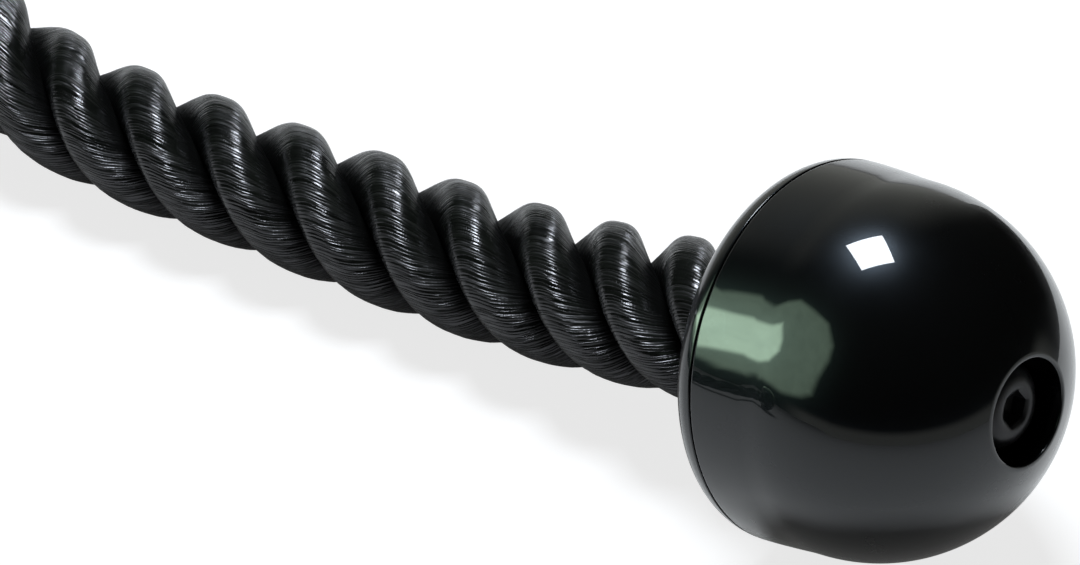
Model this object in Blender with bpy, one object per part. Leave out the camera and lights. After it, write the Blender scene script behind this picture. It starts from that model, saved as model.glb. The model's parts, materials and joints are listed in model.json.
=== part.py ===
"""Triceps rope attachment for a cable machine.

A thick three-strand rope is folded through a bent steel sleeve. A yoke swings on the cross bolt that
locks rope and sleeve together, and carries a swivel eye for the cable's snap hook. Each arm of the
rope ends in a moulded stopper ball, which is held by a bolt that draws a threaded core insert into
the rope's end. The part lies on a floor as a V with its balls towards -Y, as it is put down.

Everything is modelled from the crown of the sleeve outwards. The last step shifts the whole part so
that its origin is the middle of its footprint, at floor level.
"""

import math

import bmesh
import bpy
import numpy as np
from mathutils import Matrix, Vector

MM = 0.001

# Rope
ROPE_DIAMETER = 31.75 * MM
ROPE_BEVEL_RESOLUTION = 4
ROOT_LENGTH = 75 * MM  # stretch outside the sleeve that bends when an arm is spread
ROPE_POINT_SPACING = 11 * MM
ROPE_END_RUN = 1 * MM  # short run at each cut, which keeps the cut square to the rope
CURVE_SAMPLES = 24  # smooth samples between two route points
TOUCH_GAP = 0.3 * MM  # between pieces that touch
SIDES = (("right", 1), ("left", -1))

# Route of the rope's centre line in one arm, from the sleeve's mouth to the back of the ball:
# out to the side, back towards the user, and up from the sleeve's axis
ARM_ROUTE = (
    (0.0000, 0.0000, 0.0000),
    (0.0090, -0.0156, 0.0000),
    (0.0180, -0.0312, -0.0034),
    (0.0270, -0.0468, -0.0090),
    (0.0365, -0.0621, -0.0138),
    (0.0466, -0.0770, -0.0156),
    (0.0572, -0.0915, -0.0157),
    (0.0681, -0.1058, -0.0157),
    (0.0791, -0.1200, -0.0157),
    (0.0902, -0.1342, -0.0157),
    (0.1012, -0.1485, -0.0155),
    (0.1118, -0.1629, -0.0141),
    (0.1220, -0.1775, -0.0113),
    (0.1314, -0.1923, -0.0071),
    (0.1384, -0.2046, -0.0030),
    (0.1442, -0.2148, 0.0004),
    (0.1477, -0.2227, 0.0030),
)

# Bent sleeve around the middle of the rope
SLEEVE_WALL = 2.5 * MM
SLEEVE_BEND_RADIUS = 45 * MM
SLEEVE_HALF_BEND = math.radians(60)
SLEEVE_STRAIGHT = 6 * MM
SLEEVE_EDGE = 0.6 * MM
SLEEVE_SIDES = 24
SLEEVE_STATIONS = 13

# Metric threads, as plain shanks, and their clearances
M10_RADIUS = 4.85 * MM
M10_HOLE_GAP = 0.3 * MM
M10_NUT_FLATS = 17 * MM
M10_NUT_HEIGHT = 10 * MM
M10_HEAD_HEIGHT = 6.4 * MM
M10_WASHER_RADIUS = 10 * MM
M10_WASHER_THICKNESS = 1.6 * MM
M12_RADIUS = 5.85 * MM
M12_NUT_FLATS = 19 * MM
M12_NUT_HEIGHT = 10 * MM
M12_WASHER_RADIUS = 12 * MM
M12_WASHER_THICKNESS = 2 * MM
THREAD_END = 1.5 * MM  # how far a bolt's end stands out of its nut
THREAD_CHAMFER = 0.8 * MM
HEX_CHAMFER = 1.0 * MM
WASHER_CHAMFER = 0.2 * MM
SMALL_SEGMENTS = 24

# Yoke strap that swings on the cross bolt
STRAP_THICKNESS = 4 * MM
STRAP_WIDTH = 26 * MM
STRAP_BEND_RADIUS = 9 * MM  # outside
STRAP_SWING_GAP = 0.5 * MM  # between an ear and the sleeve
YOKE_REACH = 38 * MM  # from the cross bolt's axis to the inner face of the crown
BEND_STEPS = 5

# Swivel eye and its flanged bush
BUSH_WALL = 1.8 * MM
BUSH_FLANGE_RADIUS = 12 * MM
BUSH_FLANGE_THICKNESS = 1.5 * MM
COLLAR_RADIUS = 10.5 * MM
COLLAR_THICKNESS = 3 * MM
COLLAR_CHAMFER = 0.6 * MM
NECK_RADIUS = 7 * MM
NECK_LENGTH = 3 * MM
EYE_HOLE_RADIUS = 13.5 * MM
EYE_SECTION_RADIUS = 5.5 * MM
EYE_SEGMENTS = 32
EYE_SIDES = 10

# Stopper ball, as distances along its axis from the seam towards the nose
BALL_RADIUS = 38 * MM
BALL_FLANK = 13 * MM
BALL_NOSE_RADIUS = 37 * MM
BALL_WALL = 4.3 * MM
BALL_CORE_DEPTH = 18 * MM
BALL_WEB_START = 24 * MM
SOCKET_WALL = 3.2 * MM
RECESS_RADIUS = 10.2 * MM
RECESS_FLOOR = 38 * MM
RECESS_LIP = 0.4 * MM
SEAM_GAP = 0.3 * MM
SEAM_EDGE = 0.25 * MM
COVER_EDGE_RADIUS = 6.6 * MM
COVER_SPIGOT_DEPTH = 3 * MM
COVER_SPIGOT_WALL = 2.7 * MM
BALL_SEGMENTS = 44
NOSE_STEPS = 9
EDGE_STEPS = 4

# Ferrule around the rope's end
FERRULE_WALL = 2 * MM
FERRULE_FLANGE_RADIUS = 21 * MM
FERRULE_FLANGE_THICKNESS = 2 * MM

# Core insert, a threaded cone whose wide end is deep in the rope
INSERT_START = 1.5 * MM
INSERT_LENGTH = 18 * MM
INSERT_WIDE_RADIUS = 9 * MM
INSERT_NARROW_RADIUS = 6.8 * MM

# End bolt, with a button head and a hexagon socket
END_HEAD_RADIUS = 8.75 * MM
END_HEAD_HEIGHT = 5.5 * MM
END_HEAD_LAND_RADIUS = 4.4 * MM
END_HEAD_EDGE = 0.8 * MM
END_SOCKET_FLATS = 6 * MM
END_SOCKET_DEPTH = 3.4 * MM
END_BOLT_TIP = 4 * MM
DOME_STEPS = 6

CUTTER_OVERRUN = 5 * MM

# Values that follow from the ones above
ROPE_RADIUS = ROPE_DIAMETER / 2
SLEEVE_INNER = ROPE_RADIUS + TOUCH_GAP
SLEEVE_OUTER = SLEEVE_INNER + SLEEVE_WALL
SLEEVE_HALF_LENGTH = SLEEVE_BEND_RADIUS * SLEEVE_HALF_BEND + SLEEVE_STRAIGHT
EAR_INNER = SLEEVE_OUTER + STRAP_SWING_GAP
EAR_OUTER = EAR_INNER + STRAP_THICKNESS
M10_HOLE = M10_RADIUS + M10_HOLE_GAP
BUSH_INNER = M12_RADIUS + TOUCH_GAP
BUSH_OUTER = BUSH_INNER + BUSH_WALL
FERRULE_INNER = ROPE_RADIUS + TOUCH_GAP
FERRULE_OUTER = FERRULE_INNER + FERRULE_WALL
SOCKET_INNER = FERRULE_OUTER + TOUCH_GAP
COVER_BACK = SEAM_GAP + COVER_EDGE_RADIUS

# Colour, roughness and metallic value of each finish
FINISHES = {
    "rope": ((0.012, 0.012, 0.014, 1), 0.45, 0.0),
    "gloss_plastic": ((0.006, 0.006, 0.007, 1), 0.08, 0.0),
    "black_steel": ((0.02, 0.02, 0.021, 1), 0.35, 0.9),
    "chrome": ((0.72, 0.73, 0.75, 1), 0.12, 1.0),
    "zinc": ((0.55, 0.56, 0.58, 1), 0.32, 1.0),
    "bronze": ((0.45, 0.27, 0.11, 1), 0.35, 1.0),
}


def clear_scene():
    """Remove every object of the scene."""
    for old in list(bpy.data.objects):
        bpy.data.objects.remove(old)


def material(name, finish):
    """A Principled material in one of the finishes."""
    colour, roughness, metallic = FINISHES[finish]
    made = bpy.data.materials.new(name)
    made.use_nodes = True
    shader = made.node_tree.nodes["Principled BSDF"]
    shader.inputs["Base Color"].default_value = colour
    shader.inputs["Roughness"].default_value = roughness
    shader.inputs["Metallic"].default_value = metallic
    made.diffuse_color = colour
    return made


def empty(name, parent, matrix):
    """An empty on a joint's axis or at an assembly's place, given in the parent's frame."""
    made = bpy.data.objects.new(name, None)
    bpy.context.collection.objects.link(made)
    made.parent = parent
    made.matrix_local = matrix
    return made


def add_object(name, mesh, finish, parent):
    """A named piece of the part, made from a bmesh in its parent's frame."""
    bmesh.ops.recalc_face_normals(mesh, faces=mesh.faces)
    data = bpy.data.meshes.new(name)
    mesh.to_mesh(data)
    mesh.free()
    data.shade_smooth()
    data.set_sharp_from_angle(angle=math.radians(35))
    data.materials.append(material(name + "_finish", finish))
    made = bpy.data.objects.new(name, data)
    bpy.context.collection.objects.link(made)
    made.parent = parent
    return made


def add_cutter(name, mesh, parent):
    """A hidden helper for a Boolean."""
    bmesh.ops.recalc_face_normals(mesh, faces=mesh.faces)
    data = bpy.data.meshes.new(name)
    mesh.to_mesh(data)
    mesh.free()
    made = bpy.data.objects.new(name, data)
    bpy.context.collection.objects.link(made)
    made.parent = parent
    made.hide_render = True
    made.display_type = "WIRE"
    return made


def boolean(target, other, operation):
    """Join, cut or intersect target with other."""
    modifier = target.modifiers.new(other.name, "BOOLEAN")
    modifier.object = other
    modifier.operation = operation
    modifier.solver = "EXACT"


def rings_to_mesh(rings, closed):
    """Skin a list of rings of points: closed joins its ends, and otherwise flat caps do."""
    mesh = bmesh.new()
    made = [[mesh.verts.new(point) for point in ring] for ring in rings]
    pairs = list(zip(made, made[1:]))
    if closed:
        pairs.append((made[-1], made[0]))
    for low, high in pairs:
        for i in range(len(low)):
            j = (i + 1) % len(low)
            mesh.faces.new((low[i], low[j], high[j], high[i]))
    if not closed:
        mesh.faces.new(made[0])
        mesh.faces.new(made[-1])
    return mesh


def lathe(outline, segments):
    """Turn a closed outline of (radius, height) points about Z; its points on the axis become poles."""
    mesh = bmesh.new()
    angles = [2 * math.pi * i / segments for i in range(segments)]
    rings = []
    for radius, height in outline:
        if radius == 0:
            rings.append([mesh.verts.new((0, 0, height))])
            continue
        ring = [(radius * math.cos(a), radius * math.sin(a), height) for a in angles]
        rings.append([mesh.verts.new(point) for point in ring])
    for low, high in zip(rings, rings[1:] + rings[:1]):
        for i in range(segments):
            j = (i + 1) % segments
            corners = (low[i % len(low)], low[j % len(low)], high[j % len(high)], high[i % len(high)])
            distinct = tuple(dict.fromkeys(corners))
            if len(distinct) > 2:
                mesh.faces.new(distinct)
    return mesh


def arc(centre, radius, start, end, steps):
    """Points of an arc in an outline's plane, both ends included, with angles in degrees."""
    angles = np.radians(np.linspace(start, end, steps + 1))
    return [(centre[0] + radius * math.cos(a), centre[1] + radius * math.sin(a)) for a in angles]


def prism(outline, low, high):
    """Extrude a closed outline of (x, y) points from z = low to z = high."""
    return rings_to_mesh([[(x, y, z) for x, y in outline] for z in (low, high)], closed=False)


def hexagon_corner(across_flats):
    """How far a hexagon's corners lie from its centre."""
    return across_flats / math.sqrt(3)


def hexagon(across_flats):
    """The corners of a hexagon with this distance across its flats."""
    corner = hexagon_corner(across_flats)
    angles = [math.radians(60 * i) for i in range(6)]
    return [(corner * math.cos(a), corner * math.sin(a)) for a in angles]


def washer_outline(inner, outer, low, high):
    """A flat washer with its outer edges broken."""
    edge = WASHER_CHAMFER
    return [
        (inner, low),
        (outer - edge, low),
        (outer, low + edge),
        (outer, high - edge),
        (outer - edge, high),
        (inner, high),
    ]


def nut_outline(hole, across_flats, low, high):
    """A turned blank whose chamfered corners stay after a hexagon is cut from it."""
    corner = hexagon_corner(across_flats)
    edge = HEX_CHAMFER
    slope = edge / 2
    return [
        (hole, low),
        (corner - edge, low),
        (corner, low + slope),
        (corner, high - slope),
        (corner - edge, high),
        (hole, high),
    ]


def along_y(offset):
    """A frame whose Z axis points along +Y, placed offset along Y."""
    return Matrix.Translation((0, offset, 0)) @ Matrix.Rotation(math.radians(-90), 4, "X")


def sleeve_frame(distance):
    """Point and unit tangent of the sleeve's centre line, at a signed distance from its crown."""
    turn = max(-SLEEVE_HALF_BEND, min(SLEEVE_HALF_BEND, distance / SLEEVE_BEND_RADIUS))
    straight = distance - turn * SLEEVE_BEND_RADIUS
    tangent = Vector((math.cos(turn), -math.sin(turn), 0))
    point = Vector((math.sin(turn), math.cos(turn) - 1, 0)) * SLEEVE_BEND_RADIUS
    return point + tangent * straight, tangent


def sleeve_ring(distance, radius):
    """A ring of points round the sleeve's centre line."""
    point, tangent = sleeve_frame(distance)
    side = Vector((-tangent.y, tangent.x, 0))
    up = Vector((0, 0, 1))
    angles = [2 * math.pi * i / SLEEVE_SIDES for i in range(SLEEVE_SIDES)]
    return [point + (side * math.cos(a) + up * math.sin(a)) * radius for a in angles]


def smooth_route(points):
    """Catmull-Rom curve through the route points, which leaves and arrives along its end runs."""
    knots = np.array(points)
    first = 2 * knots[0] - knots[1]
    last = 2 * knots[-1] - knots[-2]
    knots = np.vstack([first, knots, last])
    t = np.linspace(0, 1, CURVE_SAMPLES, endpoint=False)[None, :, None]
    p0, p1, p2, p3 = (knots[i : len(knots) - 3 + i, None, :] for i in range(4))
    curve = 0.5 * (
        2 * p1 + (p2 - p0) * t + (2 * p0 - 5 * p1 + 4 * p2 - p3) * t**2 + (3 * p1 - p0 - 3 * p2 + p3) * t**3
    )
    return np.vstack([curve.reshape(-1, 3), knots[-2]])


def stretch(curve, start, end):
    """Points along a curve between two distances from its start, closer together at both ends."""
    steps = np.linalg.norm(np.diff(curve, axis=0), axis=1)
    distance = np.concatenate([[0], np.cumsum(steps)])
    even = np.linspace(start, end, round((end - start) / ROPE_POINT_SPACING) + 1)
    wanted = [start, start + ROPE_END_RUN, *even[1:-1], end - ROPE_END_RUN, end]
    return np.stack([np.interp(wanted, distance, curve[:, i]) for i in range(3)], axis=1)


def curve_length(curve):
    """Length of a curve given by its points."""
    return float(np.linalg.norm(np.diff(curve, axis=0), axis=1).sum())


def add_rope(name, points, parent):
    """A free stretch of rope as a round tube with filled caps."""
    data = bpy.data.curves.new(name, "CURVE")
    data.dimensions = "3D"
    data.bevel_depth = ROPE_RADIUS
    data.bevel_resolution = ROPE_BEVEL_RESOLUTION
    data.use_fill_caps = True
    spline = data.splines.new("POLY")
    spline.points.add(len(points) - 1)
    for target, point in zip(spline.points, points):
        target.co = (*point, 1)
    data.materials.append(material(name + "_finish", "rope"))
    made = bpy.data.objects.new(name, data)
    bpy.context.collection.objects.link(made)
    made.parent = parent
    return made


def build_saddle(assembly):
    """The bent sleeve and the rope inside it, both drilled for the cross bolt."""
    half = SLEEVE_HALF_LENGTH
    inner_stations = np.linspace(-(half - SLEEVE_EDGE), half - SLEEVE_EDGE, SLEEVE_STATIONS)
    outer = [(-half, SLEEVE_OUTER - SLEEVE_EDGE)]
    outer += [(d, SLEEVE_OUTER) for d in inner_stations]
    outer += [(half, SLEEVE_OUTER - SLEEVE_EDGE)]
    inner = [(half, SLEEVE_INNER)]
    inner += [(d, SLEEVE_INNER) for d in inner_stations[::-1]]
    inner += [(-half, SLEEVE_INNER)]
    rings = [sleeve_ring(*station) for station in outer + inner]
    tube = add_object("saddle_tube", rings_to_mesh(rings, closed=True), "chrome", assembly)

    stations = np.linspace(-half, half, SLEEVE_STATIONS)
    rings = [sleeve_ring(d, ROPE_RADIUS) for d in stations]
    bend = add_object("rope_bend", rings_to_mesh(rings, closed=False), "rope", assembly)

    reach = SLEEVE_OUTER + CUTTER_OVERRUN
    drill = lathe([(0, -reach), (M10_HOLE, -reach), (M10_HOLE, reach), (0, reach)], SMALL_SEGMENTS)
    cutter = add_cutter("cross_drill", drill, assembly)
    boolean(tube, cutter, "DIFFERENCE")
    boolean(bend, cutter, "DIFFERENCE")


def build_cross_bolt(assembly):
    """The cross bolt with its head below, a washer at each ear and the lock nut on top."""
    washer_low = EAR_OUTER + TOUCH_GAP
    washer_high = washer_low + M10_WASHER_THICKNESS
    seat = washer_high + TOUCH_GAP
    nut_top = seat + M10_NUT_HEIGHT
    tip = nut_top + THREAD_END
    head_low = -(seat + M10_HEAD_HEIGHT)

    for name, low, high in (
        ("cross_washer_bottom", -washer_high, -washer_low),
        ("cross_washer_top", washer_low, washer_high),
    ):
        outline = washer_outline(M10_HOLE, M10_WASHER_RADIUS, low, high)
        add_object(name, lathe(outline, SMALL_SEGMENTS), "zinc", assembly)

    corner = hexagon_corner(M10_NUT_FLATS)
    outline = [
        (0, head_low),
        (corner - HEX_CHAMFER, head_low),
        (corner, head_low + HEX_CHAMFER / 2),
        (corner, -seat),
        (M10_RADIUS, -seat),
        (M10_RADIUS, tip - THREAD_CHAMFER),
        (M10_RADIUS - THREAD_CHAMFER, tip),
        (0, tip),
    ]
    bolt = add_object("cross_bolt", lathe(outline, SMALL_SEGMENTS), "zinc", assembly)
    outline = nut_outline(M10_HOLE, M10_NUT_FLATS, seat, nut_top)
    nut = add_object("cross_nut", lathe(outline, SMALL_SEGMENTS), "zinc", assembly)
    reach = tip + CUTTER_OVERRUN
    shape = add_cutter("cross_hexagon", prism(hexagon(M10_NUT_FLATS), -reach, reach), assembly)
    boolean(bolt, shape, "INTERSECT")
    boolean(nut, shape, "INTERSECT")


def strap_outline():
    """The yoke's side view as a closed outline: distance from the cross bolt, and height."""
    half_width = STRAP_WIDTH / 2
    crown_outer = YOKE_REACH + STRAP_THICKNESS
    bend_y = crown_outer - STRAP_BEND_RADIUS
    bend_z = EAR_OUTER - STRAP_BEND_RADIUS
    inner_bend = STRAP_BEND_RADIUS - STRAP_THICKNESS
    return [
        (-half_width, EAR_OUTER),
        *arc((bend_y, bend_z), STRAP_BEND_RADIUS, 90, 0, BEND_STEPS),
        *arc((bend_y, -bend_z), STRAP_BEND_RADIUS, 0, -90, BEND_STEPS),
        (-half_width, -EAR_OUTER),
        (-half_width, -EAR_INNER),
        *arc((bend_y, -bend_z), inner_bend, -90, 0, BEND_STEPS),
        *arc((bend_y, bend_z), inner_bend, 0, 90, BEND_STEPS),
        (-half_width, EAR_INNER),
    ]


def build_yoke(swing_axis):
    """The U of strap, with round ears, a hole for the cross bolt and one for the swivel's bush."""
    half_width = STRAP_WIDTH / 2
    rings = [[(x, y, z) for y, z in strap_outline()] for x in (-half_width, half_width)]
    strap = add_object("yoke_strap", rings_to_mesh(rings, closed=False), "black_steel", swing_axis)

    front = YOKE_REACH + STRAP_THICKNESS + CUTTER_OVERRUN
    reach = EAR_OUTER + CUTTER_OVERRUN
    stadium = arc((0, 0), half_width, -180, 0, SMALL_SEGMENTS // 2)
    stadium += [(half_width, front), (-half_width, front)]
    ears = add_cutter("ear_shape", prism(stadium, -reach, reach), swing_axis)
    boolean(strap, ears, "INTERSECT")

    drill = lathe([(0, -reach), (M10_HOLE, -reach), (M10_HOLE, reach), (0, reach)], SMALL_SEGMENTS)
    boolean(strap, add_cutter("ear_drill", drill, swing_axis), "DIFFERENCE")

    seat = BUSH_OUTER + TOUCH_GAP
    low = YOKE_REACH - CUTTER_OVERRUN
    drill = lathe([(0, low), (seat, low), (seat, front), (0, front)], SMALL_SEGMENTS)
    cutter = add_cutter("bush_drill", drill, swing_axis)
    cutter.matrix_local = along_y(0)
    boolean(strap, cutter, "DIFFERENCE")


def build_swivel(swing_axis, eye_axis):
    """The bush in the crown, and the eye that turns in it with its washer and lock nut."""
    crown_outer = YOKE_REACH + STRAP_THICKNESS
    flange_low = crown_outer + TOUCH_GAP
    flange_high = flange_low + BUSH_FLANGE_THICKNESS
    outline = [
        (BUSH_INNER, YOKE_REACH),
        (BUSH_OUTER, YOKE_REACH),
        (BUSH_OUTER, flange_low),
        (BUSH_FLANGE_RADIUS, flange_low),
        (BUSH_FLANGE_RADIUS, flange_high),
        (BUSH_INNER, flange_high),
    ]
    bush = add_object("swivel_bush", lathe(outline, SMALL_SEGMENTS), "bronze", swing_axis)
    bush.matrix_local = along_y(0)

    washer_high = YOKE_REACH - TOUCH_GAP
    washer_low = washer_high - M12_WASHER_THICKNESS
    outline = washer_outline(BUSH_INNER, M12_WASHER_RADIUS, washer_low, washer_high)
    add_object("swivel_washer", lathe(outline, SMALL_SEGMENTS), "zinc", eye_axis)

    nut_high = washer_low - TOUCH_GAP
    nut_low = nut_high - M12_NUT_HEIGHT
    outline = nut_outline(BUSH_INNER, M12_NUT_FLATS, nut_low, nut_high)
    nut = add_object("swivel_nut", lathe(outline, SMALL_SEGMENTS), "zinc", eye_axis)
    blank = prism(hexagon(M12_NUT_FLATS), nut_low - CUTTER_OVERRUN, nut_high + CUTTER_OVERRUN)
    boolean(nut, add_cutter("swivel_hexagon", blank, eye_axis), "INTERSECT")

    tip = nut_low - THREAD_END
    collar_low = flange_high + TOUCH_GAP
    collar_high = collar_low + COLLAR_THICKNESS
    ring_low = collar_high + NECK_LENGTH
    ring_centre = ring_low + EYE_SECTION_RADIUS * 2 + EYE_HOLE_RADIUS
    outline = [
        (0, tip),
        (M12_RADIUS - THREAD_CHAMFER, tip),
        (M12_RADIUS, tip + THREAD_CHAMFER),
        (M12_RADIUS, collar_low),
        (COLLAR_RADIUS - COLLAR_CHAMFER, collar_low),
        (COLLAR_RADIUS, collar_low + COLLAR_CHAMFER),
        (COLLAR_RADIUS, collar_high - COLLAR_CHAMFER),
        (COLLAR_RADIUS - COLLAR_CHAMFER, collar_high),
        (NECK_RADIUS, collar_high + NECK_LENGTH),
        (NECK_RADIUS, ring_low + EYE_SECTION_RADIUS),
        (0, ring_low + EYE_SECTION_RADIUS),
    ]
    eye = add_object("swivel_eye", lathe(outline, SMALL_SEGMENTS), "chrome", eye_axis)

    # The ring lies flat: its plane holds the stem
    major = EYE_HOLE_RADIUS + EYE_SECTION_RADIUS
    rings = []
    for i in range(EYE_SEGMENTS):
        turn = 2 * math.pi * i / EYE_SEGMENTS
        out = Vector((math.cos(turn), 0, math.sin(turn)))
        centre = Vector((0, 0, ring_centre)) + out * major
        angles = [2 * math.pi * j / EYE_SIDES for j in range(EYE_SIDES)]
        side = Vector((0, 1, 0))
        rings.append([centre + (out * math.cos(a) + side * math.sin(a)) * EYE_SECTION_RADIUS for a in angles])
    boolean(eye, add_cutter("eye_ring", rings_to_mesh(rings, closed=True), eye_axis), "UNION")


def shell_outline():
    """The ball's front shell: tapered flank, round nose with a recess, cored wall and ferrule socket."""
    nose_half_angle = math.degrees(math.asin((RECESS_RADIUS + RECESS_LIP) / BALL_NOSE_RADIUS))
    nose = arc((0, BALL_FLANK), BALL_NOSE_RADIUS, 0, 90 - nose_half_angle, NOSE_STEPS)
    lip_height = nose[-1][1] - RECESS_LIP
    socket_outer = SOCKET_INNER + SOCKET_WALL
    core_outer = BALL_RADIUS - BALL_WALL
    core_floor = core_outer - BALL_WALL
    return [
        (BALL_RADIUS - SEAM_EDGE, 0),
        (BALL_RADIUS, SEAM_EDGE),
        *nose,
        (RECESS_RADIUS, lip_height),
        (RECESS_RADIUS, RECESS_FLOOR),
        (M10_HOLE, RECESS_FLOOR),
        (M10_HOLE, BALL_WEB_START),
        (SOCKET_INNER, BALL_WEB_START),
        (SOCKET_INNER, 0),
        (socket_outer, 0),
        (socket_outer, BALL_CORE_DEPTH),
        (core_floor, BALL_CORE_DEPTH),
        (core_outer, BALL_CORE_DEPTH - BALL_WALL),
        (core_outer, 0),
    ]


def cover_outline():
    """The back cover: rounded rim, flat back with a seat for the ferrule's flange, and a spigot."""
    flat_radius = BALL_RADIUS - COVER_EDGE_RADIUS
    rim = arc((flat_radius, -SEAM_GAP), COVER_EDGE_RADIUS, 0, -90, EDGE_STEPS)
    seat_radius = FERRULE_FLANGE_RADIUS + TOUCH_GAP
    seat = -COVER_BACK + FERRULE_FLANGE_THICKNESS + TOUCH_GAP
    spigot_outer = BALL_RADIUS - BALL_WALL - TOUCH_GAP
    spigot_inner = spigot_outer - COVER_SPIGOT_WALL
    return [
        *rim,
        (seat_radius, -COVER_BACK),
        (seat_radius, seat),
        (SOCKET_INNER, seat),
        (SOCKET_INNER, -SEAM_GAP),
        (spigot_inner, -SEAM_GAP),
        (spigot_inner, COVER_SPIGOT_DEPTH),
        (spigot_outer, COVER_SPIGOT_DEPTH),
        (spigot_outer, -SEAM_GAP),
    ]


def ferrule_outline():
    """The ferrule: a cup with a flange at its mouth and a bolt hole in its floor."""
    flange_front = -COVER_BACK + FERRULE_FLANGE_THICKNESS
    end = BALL_WEB_START - TOUCH_GAP
    return [
        (FERRULE_INNER, -COVER_BACK),
        (FERRULE_FLANGE_RADIUS, -COVER_BACK),
        (FERRULE_FLANGE_RADIUS, flange_front),
        (FERRULE_OUTER, flange_front),
        (FERRULE_OUTER, end),
        (M10_HOLE, end),
        (M10_HOLE, end - FERRULE_WALL),
        (FERRULE_INNER, end - FERRULE_WALL),
    ]


def tail_outline():
    """The rope's end in the ferrule, spread round the core insert."""
    end = BALL_WEB_START - FERRULE_WALL - 2 * TOUCH_GAP
    insert_end = INSERT_START + INSERT_LENGTH
    return [
        (0, -COVER_BACK),
        (ROPE_RADIUS, -COVER_BACK),
        (ROPE_RADIUS, end),
        (INSERT_NARROW_RADIUS + TOUCH_GAP, end),
        (INSERT_NARROW_RADIUS + TOUCH_GAP, insert_end),
        (INSERT_WIDE_RADIUS + TOUCH_GAP, INSERT_START),
        (INSERT_WIDE_RADIUS + TOUCH_GAP, INSERT_START - TOUCH_GAP),
        (0, INSERT_START - TOUCH_GAP),
    ]


def insert_outline():
    """The core insert, a cone with a bore for the end bolt."""
    return [
        (M10_HOLE, INSERT_START),
        (INSERT_WIDE_RADIUS, INSERT_START),
        (INSERT_NARROW_RADIUS, INSERT_START + INSERT_LENGTH),
        (M10_HOLE, INSERT_START + INSERT_LENGTH),
    ]


def end_bolt_outline(seat):
    """The end bolt, with its head's underside at seat and its dome as a quarter ellipse."""
    top = seat + END_HEAD_HEIGHT
    edge = seat + END_HEAD_EDGE
    dome = arc((0, 0), 1, 0, 90, DOME_STEPS)
    width = END_HEAD_RADIUS - END_HEAD_LAND_RADIUS
    return [
        (0, END_BOLT_TIP),
        (M10_RADIUS - THREAD_CHAMFER, END_BOLT_TIP),
        (M10_RADIUS, END_BOLT_TIP + THREAD_CHAMFER),
        (M10_RADIUS, seat),
        (END_HEAD_RADIUS, seat),
        *[(END_HEAD_LAND_RADIUS + width * across, edge + (top - edge) * up) for across, up in dome],
        (0, top),
    ]


def build_ball(side, ball_axis):
    """One stopper ball with what holds it on the rope, along the Z axis of its own frame."""
    washer_low = RECESS_FLOOR + TOUCH_GAP
    washer_high = washer_low + M10_WASHER_THICKNESS
    seat = washer_high + TOUCH_GAP
    washer_radius = RECESS_RADIUS - 2 * TOUCH_GAP
    washer = washer_outline(M10_HOLE, washer_radius, washer_low, washer_high)
    pieces = (
        ("ball_shell", shell_outline(), "gloss_plastic", BALL_SEGMENTS),
        ("ball_back_cover", cover_outline(), "gloss_plastic", BALL_SEGMENTS),
        ("rope_ferrule", ferrule_outline(), "black_steel", SMALL_SEGMENTS),
        ("rope_tail", tail_outline(), "rope", SMALL_SEGMENTS),
        ("core_insert", insert_outline(), "zinc", SMALL_SEGMENTS),
        ("end_washer", washer, "black_steel", SMALL_SEGMENTS),
    )
    for name, outline, finish, segments in pieces:
        add_object(f"{name}_{side}", lathe(outline, segments), finish, ball_axis)

    turned = lathe(end_bolt_outline(seat), SMALL_SEGMENTS)
    bolt = add_object(f"end_bolt_{side}", turned, "black_steel", ball_axis)
    top = seat + END_HEAD_HEIGHT
    socket = prism(hexagon(END_SOCKET_FLATS), top - END_SOCKET_DEPTH, top + CUTTER_OVERRUN)
    boolean(bolt, add_cutter(f"key_socket_{side}", socket, ball_axis), "DIFFERENCE")


def build_arm(side, sign, assembly):
    """One arm of the rope from the sleeve's mouth to its ball, hinged where it bends."""
    mouth, _ = sleeve_frame(SLEEVE_HALF_LENGTH)
    route = [Vector(point) + mouth for point in ARM_ROUTE]
    curve = smooth_route([(sign * x, y, z) for x, y, z in route])
    length = curve_length(curve)
    pivot = Vector(stretch(curve, ROOT_LENGTH / 2, length)[0])
    splay_axis = empty(f"splay_axis_{side}", assembly, Matrix.Translation(pivot))

    root = stretch(curve, TOUCH_GAP, ROOT_LENGTH - TOUCH_GAP)
    add_rope(f"rope_root_{side}", root, assembly)
    arm = stretch(curve, ROOT_LENGTH, length - TOUCH_GAP) - np.array(pivot)
    add_rope(f"rope_arm_{side}", arm, splay_axis)

    axis = Vector(curve[-1] - curve[-2]).normalized()
    seam = Vector(curve[-1]) + axis * COVER_BACK - pivot
    turn = axis.to_track_quat("Z", "Y").to_matrix().to_4x4()
    build_ball(side, empty(f"ball_axis_{side}", splay_axis, Matrix.Translation(seam) @ turn))


def settle_on_floor(assembly):
    """Shift the whole part so that its footprint's middle, at floor level, is the origin."""
    bpy.context.view_layer.update()
    graph = bpy.context.evaluated_depsgraph_get()
    corners = []
    for node in bpy.context.scene.objects:
        if node.type == "EMPTY" or node.hide_render:
            continue
        placed = node.evaluated_get(graph)
        mesh = placed.to_mesh()
        corners += [placed.matrix_world @ vertex.co for vertex in mesh.vertices]
        placed.to_mesh_clear()
    points = np.array(corners)
    low, high = points.min(axis=0), points.max(axis=0)
    assembly.location = (-(low[0] + high[0]) / 2, -(low[1] + high[1]) / 2, -low[2])
    bpy.context.view_layer.update()


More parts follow.
